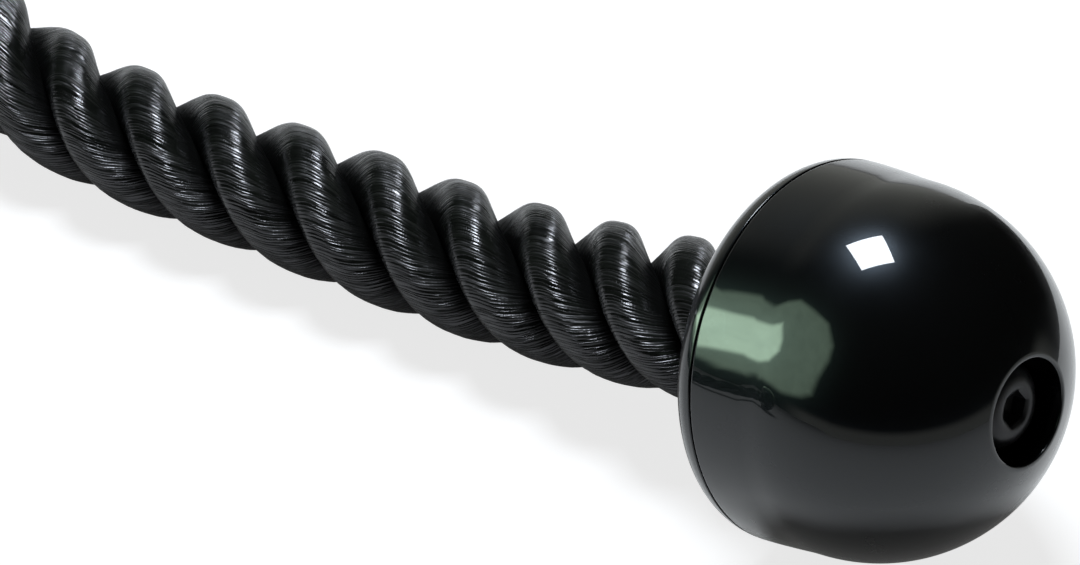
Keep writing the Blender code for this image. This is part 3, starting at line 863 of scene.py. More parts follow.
def ball_frame(sign: int) -> Matrix:
    """Frame of a ball: origin in its seam's plane, Z along its axis towards its nose.

    Args:
        sign: 1 for the right ball and -1 for the left.

    Returns:
        The frame's matrix.
    """
    line = arm_line(sign)
    axis = Vector(line[-1] - line[-2]).normalized()
    seam = Vector(line[-1]) + axis * COVER_BACK
    return Matrix.Translation(seam) @ axis.to_track_quat("Z", "Y").to_matrix().to_4x4()


# Rope


@dataclass
class LaidRope:
    """One three-strand, right-hand laid rope from ball to ball through the sleeve.

    Its rings stand at equal steps along the centre line, counted from the right ball's end.
    """

    finishes: Finishes
    lay_near: float = 57.3 * MM
    lay_shortest: float = 50.3 * MM
    lay_far: float = 68.5 * MM
    lay_growth: float = 0.066
    lay_near_reach: float = 40 * MM
    strands: int = 3
    strand_centre: float = 8.575 * MM
    strand_depth: float = 7.3 * MM
    strand_width: float = 8.4 * MM
    strand_fullness: float = 2.2
    groove_crowding: float = 0.2
    groove_lead: float = 0.0
    yarn_arc: float = 8.2
    yarn_turn: float = 2.15
    yarn_skew: float = 0.2
    yarn_slant: float = 2.9
    strand_offset: tuple = (171.0, 37.0)
    ring_step: float = 0.62 * MM
    points_per_strand: int = 66
    ferrule_depth: float = 21.0 * MM
    mouth_overlap: float = 5.0 * MM
    swelling: float = 0.056
    swelling_reach: float = 110 * MM
    held_radius: float = ROPE_RADIUS + 0.1 * MM
    held_reach: float = 9 * MM

    def __post_init__(self) -> None:
        """Lay out the whole centre line, soften its joins and carry a frame along it."""
        reach = np.linspace(0.5 * MM, COVER_BACK + self.ferrule_depth, 50)[:, None]
        right, left = (np.vstack([line, line[-1] + reach * np.array(ball_frame(sign).col[2][:3])])
                       for sign, line in ((1, arm_line(1)), (-1, arm_line(-1))))
        bend = sleeve_line(np.linspace(SLEEVE_HALF_LENGTH, -SLEEVE_HALF_LENGTH, 200))
        line = np.vstack([right[::-1], bend[1:-1], left])
        distance = line_distance(line)
        self.total = distance[-1]
        self.distance = np.linspace(0, self.total, round(self.total / self.ring_step))
        self.line = np.stack([np.interp(self.distance, distance, part) for part in line.T], axis=1)
        weights = np.hanning(9) / np.hanning(9).sum()
        soft = np.stack([np.convolve(np.pad(part, 4, "edge"), weights, "valid") for part in self.line.T],
                        axis=1)
        self.line[6:-6] = soft[6:-6]
        self.tangent = unit(np.gradient(self.line, axis=0))
        self.carry_frame()

    def carry_frame(self) -> None:
        """Carry a normal along the line: each step keeps it square to the tangent without twist."""
        self.normal = np.zeros_like(self.line)
        kept = np.array(UP)
        for i, tangent in enumerate(self.tangent):
            kept = unit(kept - tangent * (kept @ tangent))
            self.normal[i] = kept
        self.binormal = np.cross(self.tangent, self.normal)

    def to_seam(self) -> np.ndarray:
        """Distance from the nearer ball's seam at each ring."""
        return np.minimum(self.distance, self.total - self.distance) - self.ferrule_depth

    def lay_turn(self) -> np.ndarray:
        """Turn of the strands at each ring: the sum of 2 pi step / lay length.

        The lay is shorter near a ball, where the rope's end was gripped, and slackens away from it.

        Returns:
            An angle for each ring.
        """
        length = self.lay_near + self.lay_growth * (self.to_seam() - self.lay_near_reach)
        rate = 2 * np.pi / np.clip(length, self.lay_shortest, self.lay_far)
        return np.concatenate([[0.0], np.cumsum(0.5 * (rate[1:] + rate[:-1]) * np.diff(self.distance))])

    def outer_radius(self) -> np.ndarray:
        """Radius over the strands at each ring: fuller near a ball, and held by sleeve and ferrule.

        Returns:
            A radius for each ring.
        """
        seam = self.to_seam()
        fuller = np.clip((self.swelling_reach - seam) / self.swelling_reach, -1, 1)
        grown = ROPE_RADIUS * (1 + self.swelling * fuller)
        free = smooth_rise((seam - COVER_BACK) / self.held_reach)
        return self.held_radius + (grown - self.held_radius) * free

    def section(self) -> tuple[np.ndarray, np.ndarray]:
        """Outline of one strand's share of the section.

        Returns:
            The angles, closer together by the grooves, and the radius there as a share of the crest's.
        """
        t = np.linspace(-1, 1, self.points_per_strand, endpoint=False)
        even = 1 - self.groove_crowding
        angle = np.pi / self.strands * (even * t + self.groove_crowding * np.sin(0.5 * np.pi * t))
        return angle, self.strand_edge(angle) / (self.strand_centre + self.strand_depth)

    def strand_edge(self, angle: np.ndarray) -> np.ndarray:
        """Distance from the rope's axis to a strand's skin, by halving the span that holds it.

        The strand is an ellipse whose centre lies off the axis, wider across than deep because it
        runs at a slant. Its edge at the angle a from its crest solves
        |(r cos a - c) / d|^n + |r sin a / w|^n = 1, and n above 2 fills its corners.

        Args:
            angle: angles about the axis.

        Returns:
            A distance for each angle.
        """
        c, d, w, n = self.strand_centre, self.strand_depth, self.strand_width, self.strand_fullness
        low, high = np.full_like(angle, 0.3 * c), np.full_like(angle, 1.1 * (c + d))
        for _ in range(40):
            radius = (low + high) / 2
            up, side = (radius * np.cos(angle) - c) / d, radius * np.sin(angle) / w
            inside = np.abs(up) ** n + np.abs(side) ** n < 1
            low, high = np.where(inside, radius, low), np.where(inside, high, radius)
        return (low + high) / 2

    def surface(self, stretch: slice) -> tuple[np.ndarray, np.ndarray]:
        """Skin of a stretch of the rope.

        A point lies at the ring's centre plus its radius times the normal turned by the lay's turn
        plus its own angle in the section, so columns of the grid follow the grooves.

        Args:
            stretch: its rings.

        Returns:
            The grid of points, and the yarn coordinates in millimetres at each point.
        """
        angle, share = self.section()
        strand = np.repeat(np.arange(self.strands), len(angle))
        own, shares = np.tile(angle, self.strands), np.tile(share, self.strands)
        across, along = self.yarn_place(stretch, own, strand)
        radius = self.outer_radius()[stretch, None] * shares + self.yarn_lift(across, along, strand, shares)
        theta = self.groove_lead + self.lay_turn()[stretch, None] + (own + strand * 2 * np.pi / self.strands)
        grid = (self.line[stretch, None, :]
                + radius[..., None] * (np.cos(theta)[..., None] * self.normal[stretch, None, :]
                                       + np.sin(theta)[..., None] * self.binormal[stretch, None, :]))
        return grid, np.stack([across, along], axis=2)

    def yarn_place(self, stretch: slice, own: np.ndarray,
                   strand: np.ndarray) -> tuple[np.ndarray, np.ndarray]:
        """Millimetres across and along the yarns.

        Across is the arc round the strand's own centre plus the arc that the yarns have turned
        against the lay, which makes them lie along the rope at the crest. A small skew,
        turn - skew cos(turn), packs them more on one flank. Along is the distance along the rope.

        Args:
            stretch: its rings.
            own: each column's angle from its crest.
            strand: each column's strand.

        Returns:
            The grids of millimetres across and along.
        """
        radius = self.strand_edge(own)
        about = np.arctan2(radius * np.sin(own), radius * np.cos(own) - self.strand_centre)
        packed = about - self.yarn_skew * np.cos(about)
        offset_across, offset_along = np.outer(self.strand_offset, strand)
        across = self.yarn_arc * (packed + self.yarn_turn * self.lay_turn()[stretch, None]) + offset_across
        return across, self.distance[stretch, None] / MM + self.yarn_slant * about + offset_along

    @staticmethod
    def yarn_lift(across: np.ndarray, along: np.ndarray, strand: np.ndarray,
                  shares: np.ndarray) -> np.ndarray:
        """Uneven bundles of yarn: a few sine waves across the yarns that drift along them.

        Slower waves lift and sink whole stretches of a strand. All of it fades out in a groove.

        Args:
            across: millimetres across the yarns.
            along: millimetres along them.
            strand: each column's strand.
            shares: each column's radius as a share of the crest's.

        Returns:
            The height that each point gains, in metres.
        """
        wave = (0.45 * np.sin(across * 2.9 + 1.3 * np.sin(along * 0.21 + strand * 2.0))
                + 0.35 * np.sin(across * 1.7 + 0.9 * np.sin(along * 0.13 + 1.0) + strand)
                + 0.20 * np.sin(across * 4.3 + 0.8 * np.sin(along * 0.31)))
        slow = 0.5 * np.sin(along * 0.107 + strand * 1.9) + 0.5 * np.sin(along * 0.059 + strand * 4.1)
        return (0.075 * wave + 0.10 * slow - 0.12) * MM * np.clip((shares - shares.min()) / 0.12, 0, 1)

    def make(self, name: str, stretch: slice) -> bpy.types.Object:
        """Build one stretch of the rope as a closed mesh with its yarn map and the painted shade of its grooves
        marked.

        The mesh was turned outwards, so a quad's corners run (i, j), (i, j+1), (i+1, j+1), (i+1, j).
        The yarn map breaks at a groove: there it goes on by one step of its own strand.

        Args:
            name: the piece's name.
            stretch: its rings.

        Returns:
            The piece.
        """
        grid, yarn = self.surface(stretch)
        piece = Skin(name, grid, caps=True, sharp_angle=50).build(weld=False)
        last = np.arange(1, self.strands + 1) * self.points_per_strand - 1
        following = np.roll(yarn, -1, axis=1)
        following[:, last] = 2 * yarn[:, last] - yarn[:, last - 1]
        corners = np.stack([yarn[:-1], following[:-1], following[1:], yarn[1:]], axis=2).reshape(-1, 2)
        full = np.zeros((len(piece.data.loops), 2), np.float32)
        full[: len(corners)] = corners
        # Painted shade of the grooves, stored per point for the rope's material.
        mark(piece, "hollow", self.hollow(len(grid)))
        piece.data.uv_layers.new(name="Yarn").data.foreach_set("uv", full.reshape(-1))
        return piece

    def hollow(self, rows: int) -> np.ndarray:
        """Painted shade at each point: how far it lies down in a groove, where its neighbours shade it.

        It rises from 0 to 1 as the skin sinks from 0.90 to 0.62 of the crest's radius, and the
        centres of the caps have none.

        Args:
            rows: number of rings in the piece.

        Returns:
            One number per point.
        """
        depth = smooth_rise((0.90 - self.section()[1]) / 0.28)
        return np.concatenate([np.tile(depth, rows * self.strands), (0.0, 0.0)])

    def fit_grooves(self, camera: Vector, seen: list[float]) -> None:
        """Turn the lay so that grooves meet the rope's upper outline where the photograph shows notches.

        The outline's direction at a ring is the tangent crossed with the line of sight.

        Args:
            camera: where the photograph was taken from.
            seen: distances of the notches from the right ball's seam.
        """
        total = 0j
        turn = self.lay_turn()
        for distance in seen:
            i = int(np.argmin(np.abs(self.distance - self.ferrule_depth - distance)))
            side = unit(np.cross(self.tangent[i], self.line[i] - np.array(camera)))
            side = side * np.sign(side[2])
            wanted = math.atan2(side @ self.binormal[i], side @ self.normal[i]) - turn[i]
            total += np.exp(1j * self.strands * (wanted - np.pi / self.strands))
        self.groove_lead = float(np.angle(total)) / self.strands

    def build(self) -> None:
        arm_length = line_distance(arm_line(1))[-1] + COVER_BACK + self.ferrule_depth + self.mouth_overlap
        count = len(self.distance)
        inside = int(np.searchsorted(self.distance, arm_length))
        for side, sign, stretch in (("right", 1, slice(0, inside)),
                                    ("left", -1, slice(count - inside, count))):
            piece = self.make(f"rope_arm_{side}_laid", stretch)
            self.finishes.dress(piece, "rope")
            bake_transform(piece)
            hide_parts(f"rope_root_{side}", f"rope_arm_{side}", f"rope_tail_{side}")
        bend = self.make("rope_bend_laid", slice(inside, count - inside))
        self.finishes.fit(bend, "rope", "saddle", "rope_bend")


# Camera and light


@dataclass(frozen=True)
class Viewpoint:
    """The photograph's camera."""

    position: tuple = (-0.0116, -0.5105, 0.3939)
    heading: float = 22.02
    pitch: float = 39.81
    focal_pixels: float = 2802.0
    image_width: float = 1080.0
    sensor: float = 36.0

    def build(self) -> None:
        """Create the camera and make it the scene's."""
        data = bpy.data.cameras.new("photo_camera")
        data.sensor_fit = "HORIZONTAL"
        data.sensor_width = self.sensor
        data.lens = self.focal_pixels / self.image_width * self.sensor
        data.clip_start = 0.01
        made = bpy.data.objects.new("photo_camera", data)
        made.location = self.position
        made.rotation_euler = (math.radians(90 - self.pitch), 0, math.radians(-self.heading))
        bpy.context.scene.collection.objects.link(made)
        bpy.context.scene.camera = made


@dataclass(frozen=True)
class Card:
    """A flat glowing card at the left of the right ball, of corners (y, z) round its heart.

    Rings of points stand at three shares of the way from the heart to the corners. Between the last
    two the glow falls softly to that of what lies behind the card.
    """

    name: str
    away: float
    heart: tuple
    corners: tuple
    shares: tuple
    glow: float
    behind: float


@dataclass
class Studio:
    """Pale floor, a hard-edged soft box for all and a wider, dimmer one for the rope alone.

    Two pale green cards show in the balls alone, and a dark room shows in all but the rope.
    Distances are from the right ball.
    """

    target: Vector
    box_direction: tuple = (0.06, 0.37, 0.927)
    box_distance: float = 1.2
    box_size: tuple = (0.36, 0.42)
    box_radiance: float = 28.0
    box_colour: tuple = (0.88, 0.94, 1.0)
    rope_box_distance: float = 1.26
    rope_box_size: tuple = (0.44, 0.50)
    rope_box_radiance: float = 14.0
    cards: tuple = (
        Card("side_card", -1.0, (0.15, 0.45), (
            (0.95, 0.00), (0.95, 0.67), (0.665, 0.705), (0.645, 0.83), (0.628, 0.942), (0.543, 1.162),
            (0.253, 1.271), (-0.10, 1.343), (-0.40, 1.083), (-0.46, 0.81), (-0.433, 0.527), (-0.431, 0.30),
            (-0.32, 0.204), (-0.11, 0.12), (0.03, 0.108), (0.14, 0.087), (0.165, 0.062), (0.20, 0.075),
            (0.30, 0.05), (0.60, 0.0)), (0.0, 0.86, 1.07), 1.9, 0.0),
        Card("side_card_core", -0.99, (0.30, 0.36), (
            (0.90, 0.10), (0.60, 0.42), (0.44, 0.55), (0.36, 0.68), (0.19, 0.55), (0.125, 0.43), (0.16, 0.27),
            (0.30, 0.13)), (0.0, 0.76, 1.12), 8.8, 1.9),
    )
    card_colour: tuple = (0.72, 1.0, 0.74, 1)
    card_cloud_scale: float = 7.0
    room_radius: float = 2.6
    room_skirt: tuple = ((0, 2.6), (30, 2.6), (50, 0.22), (100, 0.20), (118, 0.30), (145, 0.80), (232, 0.80),
                         (242, 2.6), (360, 2.6))
    room_dome_height: float = 30.0
    room_colour: tuple = (0.98, 1.0, 0.92, 1)
    room_glow: float = 0.006
    room_glow_above: float = 0.03
    backdrop_azimuth: float = 0.14
    backdrop_glow: float = 0.40
    backdrop_fade: float = 0.32
    front_glow: float = 0.36
    floor_radius: float = 6.0
    floor_drop: float = 0.4 * MM
    floor_colour: tuple = (0.90, 0.885, 0.86)
    floor_seen_colour: tuple = (0.34, 0.34, 0.34)
    floor_seen_lift: float = 0.78
    floor_mirror_lift: float = 0.07
    sky_light: float = 0.08

    def build(self) -> None:
        """Create the lamps, the cards, the world, the floor and the dark room."""
        self.soft_box("soft_box", self.box_distance, self.box_size, self.box_radiance)
        wide = self.soft_box("rope_box", self.rope_box_distance, self.rope_box_size, self.rope_box_radiance)
        wide.light_linking.receiver_collection = self.receivers("rope_receivers", "rope_", True)
        for card in self.cards:
            self.side_card(card)
        self.world()
        self.floor()
        self.dark_room()
        bpy.context.scene.view_settings.view_transform = "Standard"

    def soft_box(self, name: str, distance: float, size: tuple, radiance: float) -> bpy.types.Object:
        """Area lamp whose power is radiance times area times pi.

        Args:
            name: the lamp's name.
            distance: how far it stands from the right ball, in the soft box's direction.
            size: its two sides.
            radiance: brightness of its face.

        Returns:
            The lamp.
        """
        data = bpy.data.lights.new(name, "AREA")
        data.shape = "RECTANGLE"
        data.size, data.size_y = size
        data.energy = radiance * math.pi * size[0] * size[1]
        data.color = self.box_colour
        made = bpy.data.objects.new(name, data)
        direction = Vector(self.box_direction).normalized()
        made.location = self.target + direction * distance
        made.rotation_euler = direction.to_track_quat("Z", "Y").to_euler()
        bpy.context.scene.collection.objects.link(made)
        return made

    def side_card(self, card: Card) -> None:
        """Make a card: a fan of its corners, cloudy like a lit wall.

        Args:
            card: its shape and glow.
        """
        rim = np.array(card.corners)
        flat = card.heart + np.array(card.shares)[:, None, None] * (rim - card.heart)
        points = np.insert(flat, 0, card.away, axis=2)
        piece, graph = self.sheet(card.name, points + np.array(self.target), closed=True)
        mark(piece, "inside", np.repeat((1.0, 1.0, 0.0), len(rim)))
        cloud = graph.noise(graph.point(), self.card_cloud_scale, 3.0, 0.6)
        level = card.behind + (card.glow - card.behind) * graph.attribute("inside").step(0.0, 1.0)
        self.glow(piece, graph, self.card_colour, (0.72 + 0.56 * cloud) * level)
        piece.light_linking.receiver_collection = self.receivers(f"{card.name}_receivers", "ball_", True)

    @staticmethod
    def glow(piece: bpy.types.Object, graph: Graph, colour: tuple, strength: Value) -> None:
        """Let a sheet of the studio glow, for reflections alone.

        Args:
            piece: the sheet.
            graph: its material's nodes.
            colour: colour of the glow.
            strength: brightness at each point.
        """
        emit = graph.node("ShaderNodeEmission", None, {"Color": colour, "Strength": strength})
        graph.raw("ShaderNodeOutputMaterial", None, {0: emit})
        for rays in ("camera", "diffuse", "shadow", "transmission", "volume_scatter"):
            setattr(piece, f"visible_{rays}", False)

    @staticmethod
    def receivers(name: str, start: str, wanted: bool) -> bpy.types.Collection:
        """The meshes whose names start so, or all the others, which alone are to show a light.

        Args:
            name: the collection's name.
            start: start of the pieces' names.
            wanted: whether those pieces are meant, or all the others.

        Returns:
            A collection of the pieces.
        """
        found = bpy.data.collections.new(name)
        for piece in bpy.data.objects:
            if piece.type == "MESH" and piece.name.startswith(start) == wanted:
                found.objects.link(piece)
        return found

    def dark_room(self) -> None:
        """Dark room round the object, lighter behind it like a backdrop.

        A dome stands over a skirt whose distance changes with the azimuth, and the skirt widens to
        the dome by a smooth rise. At the front a low band shows the pale floor's light.
        """
        t, p = np.meshgrid(np.radians(np.linspace(-30, 90, 61)), np.radians(np.linspace(0, 358, 180)),
                           indexing="ij")
        azimuth, distance = np.array(self.room_skirt).T
        edge = np.interp(p, np.radians(azimuth), distance)
        reach = edge + (self.room_radius - edge) * smooth_rise(np.degrees(t) / self.room_dome_height)
        points = reach[..., None] * np.stack([np.cos(t) * np.sin(p), np.cos(t) * np.cos(p), np.sin(t)], axis=2)
        room, graph = self.sheet("dark_room", points + np.array(self.target), closed=True)
        away = graph.node("ShaderNodeVectorMath", {"operation": "SUBTRACT"},
                          {0: graph.point(), 1: tuple(self.target)})
        dx, dy, dz = graph.parts(graph.node("ShaderNodeVectorMath", {"operation": "NORMALIZE"}, {0: away}))
        aside = (dx.math("ARCTAN2", dy) - self.backdrop_azimuth).math("ABSOLUTE")
        back = (1.0 - aside.step(0.45, 0.85)) * (1.0 - dz.step(0.55, 0.9)) * (
            self.backdrop_glow - self.backdrop_fade * dz)
        front = (1.0 - dz.step(0.03, 0.12)) * (0.0 - dy).step(0.1, 0.4) * self.front_glow
        dark = self.room_glow + self.room_glow_above * dz.math("MAXIMUM", 0.0)
        self.glow(room, graph, self.room_colour, dark + back + front)
        room.light_linking.receiver_collection = self.receivers("room_receivers", "rope_", False)

    def world(self) -> None:
        """White for what the camera and reflections see, low for the light that it gives."""
        made = bpy.data.worlds.new("studio")
        bpy.context.scene.world = made
        made.use_nodes = True
        made.node_tree.nodes.clear()
        graph = Graph(made.node_tree)
        _, seen = self.rays(graph)
        sky = graph.node("ShaderNodeBackground", None,
                         {"Color": WHITE, "Strength": self.sky_light + (1 - self.sky_light) * seen})
        graph.raw("ShaderNodeOutputWorld", None, {0: sky})

    @staticmethod
    def rays(graph: Graph) -> tuple[Value, Value]:
        """1 for camera rays alone, and 1 for camera, glossy and transmission rays.

        Args:
            graph: the nodes that need them.

        Returns:
            The two values.
        """
        path = graph.raw("ShaderNodeLightPath")
        camera, glossy, through = (Value(graph, path.outputs[f"Is {kind} Ray"])
                                   for kind in ("Camera", "Glossy", "Transmission"))
        return camera, (camera + glossy + through).math("MINIMUM", 1.0)

    def floor(self) -> None:
        """Pale floor that keeps the object's shadow, lifted for what the camera sees."""
        span = np.linspace(-self.floor_radius, self.floor_radius, 5)
        x, y = np.meshgrid(span, span, indexing="ij")
        _, graph = self.sheet("floor", np.stack([x, y, np.full_like(x, -self.floor_drop)], axis=2))
        camera, seen = self.rays(graph)
        x, y, _ = graph.parts(graph.point())
        far = ((x * x + y * y) ** 0.5).step(0.5, 1.6)
        paint = graph.node("ShaderNodeBsdfDiffuse", None,
                           {"Color": graph.blend(camera, self.floor_colour, self.floor_seen_colour)})
        strength = (self.floor_mirror_lift * (seen - camera)
                    + camera * (self.floor_seen_lift + (1 - self.floor_seen_lift) * far))
        lift = graph.node("ShaderNodeEmission", None, {"Color": WHITE, "Strength": strength})
        both = graph.node("ShaderNodeAddShader", None, {0: paint, 1: lift})
        graph.raw("ShaderNodeOutputMaterial", None, {0: both})

    @staticmethod
    def sheet(name: str, points: np.ndarray, closed: bool = False) -> tuple[bpy.types.Object, Graph]:
        """An open surface of the studio, marked as stage, and the empty graph of its material.

        Args:
            name: name of the piece and its material.
            points: its grid of points.
            closed: whether its last column meets the first.

        Returns:
            The piece and the graph.
        """
        piece = Skin(name, points, close_columns=closed).link()
        made = bpy.data.materials.new(name)
        made.use_nodes = True
        made.node_tree.nodes.clear()
        piece.data.materials.append(made)
        return piece, Graph(made.node_tree)


# Stopper balls


@dataclass
class StopperBall:
    """Moulded ball of two halves, with the ferrule, washer and bolt that hold it on the rope.

    Outlines are rows of (radius, height) in the ball's frame, and heights start at its seam.
    """

    side: str
    sign: int
    finishes: Finishes
    radius: float = 38 * MM
    flank: float = 13 * MM
    flank_power: float = 1.3
    nose_radius: float = 37 * MM
    wall: float = 4.3 * MM
    core_depth: float = 18 * MM
    web_start: float = 24 * MM
    socket_inner: float = 18.475 * MM
    socket_wall: float = 3.2 * MM
    recess_radius: float = 10.2 * MM
    recess_floor: float = 38 * MM
    lip: float = 0.4 * MM
    seam_gap: float = 0.3 * MM
    seam_land: float = 3 * MM
    cover_edge: float = 6.6 * MM
    spigot_wall: float = 2.7 * MM
    flange_radius: float = 21 * MM
    flange_thickness: float = 2 * MM
    ferrule_outer: float = 18.175 * MM
    ferrule_inner: float = 16.175 * MM
    washer_radius: float = 9.6 * MM
    washer_thickness: float = 1.6 * MM
    shank_radius: float = 4.85 * MM
    shank_start: float = 4 * MM
    shank_chamfer: float = 0.8 * MM
    head_radius: float = 8.75 * MM
    head_height: float = 5.5 * MM
    head_rim: float = 0.8 * MM
    head_land: float = 4.45 * MM
    key_flats: float = 6 * MM
    key_depth: float = 3.4 * MM

    def __post_init__(self) -> None:
        """Find the ball's frame and body."""
        self.frame = ball_frame(self.sign)
        self.body = f"arm_{self.side}"

    def shell_outline(self) -> np.ndarray:
        """Front half: tapered flank, round nose with a lipped recess, cored wall and ferrule socket.

        Returns:
            The outline, as rows of points.
        """
        end = math.asin((self.recess_radius + self.lip) / self.nose_radius)
        turn = np.linspace(0.04, np.pi / 2 - end, 60)
        nose = np.stack([self.nose_radius * np.cos(turn), self.flank + self.nose_radius * np.sin(turn)], axis=1)
        rise = np.linspace(0.9 * MM, self.flank, 14)[:-1]
        taper = (self.radius - self.nose_radius) * (rise / self.flank) ** self.flank_power
        flank = np.stack([self.radius - taper, rise], axis=1)
        socket_outer = self.socket_inner + self.socket_wall
        core_outer = self.radius - self.wall
        core_floor = core_outer - self.wall
        edge = round_corner((self.radius - self.seam_land, 0), (self.radius, 0), flank[0], 0.55 * MM)
        lip = round_corner(nose[-1], (self.recess_radius, nose[-1, 1] - self.lip + 0.25 * MM),
                           (self.recess_radius, self.recess_floor), 0.5 * MM)
        inside = fillet([
            (self.recess_radius, self.recess_floor), (BOLT_HOLE, self.recess_floor),
            (BOLT_HOLE, self.web_start), (self.socket_inner, self.web_start),
            (self.socket_inner, 0), (socket_outer, 0), (socket_outer, self.core_depth),
            (core_floor, self.core_depth), (core_outer, self.core_depth - self.wall), (core_outer, 0),
        ], [0.3 * MM, 0, 0, 0.4 * MM, 0.2 * MM, 0.2 * MM, 0.8 * MM, 1 * MM, 1 * MM, 0.3 * MM], 3)
        return np.vstack([edge, flank[1:], nose, lip, inside[1:-1]])

    def cover_outline(self) -> np.ndarray:
        """Back half: rounded rim, flat back with a seat for the ferrule's flange, and a spigot.

        Returns:
            The outline, as rows of points.
        """
        seam = -self.seam_gap
        seat_radius = self.flange_radius + TOUCH_GAP
        seat = -COVER_BACK + self.flange_thickness + TOUCH_GAP
        spigot_outer = self.radius - self.wall - TOUCH_GAP
        spigot_inner = spigot_outer - self.spigot_wall
        rim = quarter((seam, self.radius - self.cover_edge), self.cover_edge, -6, -90, 24)
        rim = np.array(rim)[:, ::-1]
        edge = round_corner((self.radius - self.seam_land, seam), (self.radius, seam), rim[0], 0.5 * MM)
        inside = fillet([
            (seat_radius, -COVER_BACK), (seat_radius, seat), (self.socket_inner, seat), (self.socket_inner, seam),
            (spigot_inner, seam), (spigot_inner, self.seam_land), (spigot_outer, self.seam_land),
            (spigot_outer, seam),
        ], [0.5 * MM, 0.2 * MM, 0.2 * MM, 0.2 * MM, 0.2 * MM, 0.3 * MM, 0.3 * MM, 0.15 * MM], 3)
        return np.vstack([edge, rim[1:], inside])

    def ferrule_outline(self) -> np.ndarray:
        """Cup with a flange at its mouth and a bolt hole in its floor.

        Returns:
            The outline, as rows of points.
        """
        front = -COVER_BACK + self.flange_thickness
        end = self.web_start - TOUCH_GAP
        floor = end - (self.ferrule_outer - self.ferrule_inner)
        return fillet([
            (self.ferrule_inner, -COVER_BACK), (self.flange_radius, -COVER_BACK), (self.flange_radius, front),
            (self.ferrule_outer, front), (self.ferrule_outer, end), (BOLT_HOLE, end),
            (BOLT_HOLE, floor), (self.ferrule_inner, floor),
        ], [0.9 * MM, 0.4 * MM, 0.3 * MM, 0.5 * MM, 1.5 * MM, 0.2 * MM, 0.2 * MM, 1 * MM], 5)

    def bolt_grid(self) -> np.ndarray:
        """Button head and shank with a hexagon socket, from the shank's tip to the socket's floor.

        A row holds a radius, a height and the share that the socket's hexagon has in the ring, the
        rest being round. The head's dome is a quarter ellipse.

        Returns:
            A grid of points: rows by columns.
        """
        seat = self.recess_floor + 2 * TOUCH_GAP + self.washer_thickness
        top, rim = seat + self.head_height, seat + self.head_rim
        key, start, shank = top - self.key_depth, self.shank_start, self.shank_radius
        dome = np.radians(np.linspace(0, 90, 22))
        radius, height, share = np.array([
            (0, start, 0), (shank - self.shank_chamfer, start, 0), (shank, start + self.shank_chamfer, 0),
            (shank, seat - 0.5 * MM, 0), (shank + 0.15 * MM, seat, 0), (self.head_radius - 0.45 * MM, seat, 0),
            (self.head_radius - 0.07 * MM, seat + 0.08 * MM, 0), (self.head_radius, seat + 0.25 * MM, 0),
            *((self.head_land + (self.head_radius - self.head_land) * math.cos(t),
               rim + (top - rim) * math.sin(t), 0) for t in dome),
            (4.1 * MM, top, 0), (3.85 * MM, top - 0.12 * MM, 0.35), (3.55 * MM, top - 0.45 * MM, 1),
            (0, top - 0.6 * MM, 1), (0, key + 0.2 * MM, 1), (0, key, 0.9), (0, key - 1 * MM, 0),
        ]).T[..., None]
        angle = around(144)
        return rings(hexagon(self.key_flats, angle) * share + radius * (1 - share), height, angle)

    def build(self) -> None:
        """Make the pieces of one ball."""
        low = self.recess_floor + TOUCH_GAP
        self.turn("ball_front", self.shell_outline(), 224, "gloss", "ball_shell")
        self.turn("ball_back", self.cover_outline(), 224, "gloss", "ball_back_cover")
        self.turn("ferrule", self.ferrule_outline(), 144, "oxide", "rope_ferrule")
        washer = box_section(BOLT_HOLE, self.washer_radius, low, low + self.washer_thickness)
        self.turn("washer", fillet(washer, 0.3 * MM), 96, "oxide", "end_washer")
        bolt = Skin(f"button_bolt_{self.side}", placed(self.bolt_grid(), self.frame), sharp_angle=38).build()
        self.finishes.fit(bolt, "oxide", self.body, f"end_bolt_{self.side}")

    def turn(self, name: str, outline: np.ndarray, segments: int, finish: str, node: str) -> None:
        """Make one turned piece in the ball's frame and let it stand for a CAD node.

        Args:
            name: the piece's name without its side.
            outline: rows of (radius, height).
            segments: columns round the axis.
            finish: the finish's name.
            node: the CAD node's name without its side.
        """
        grid = placed(turned(outline, segments), self.frame)
        piece = Skin(f"{name}_{self.side}", grid, close_rows=True, sharp_angle=50).build()
        self.finishes.fit(piece, finish, self.body, f"{node}_{self.side}")


# Turned and hexagonal fasteners


def hexagon(flats: float, angle: np.ndarray) -> np.ndarray:
    """Radius of a hexagon at each angle: flats / 2 / cos(angle to the nearest flat's middle)."""
    return flats / 2 / np.cos(angle % (np.pi / 3) - np.pi / 6)


def box_section(inner: float, outer: float, low: float, high: float) -> list:
    """Corners (radius, height) of a ring with a rectangular section."""
    return [(inner, low), (outer, low), (outer, high), (inner, high)]


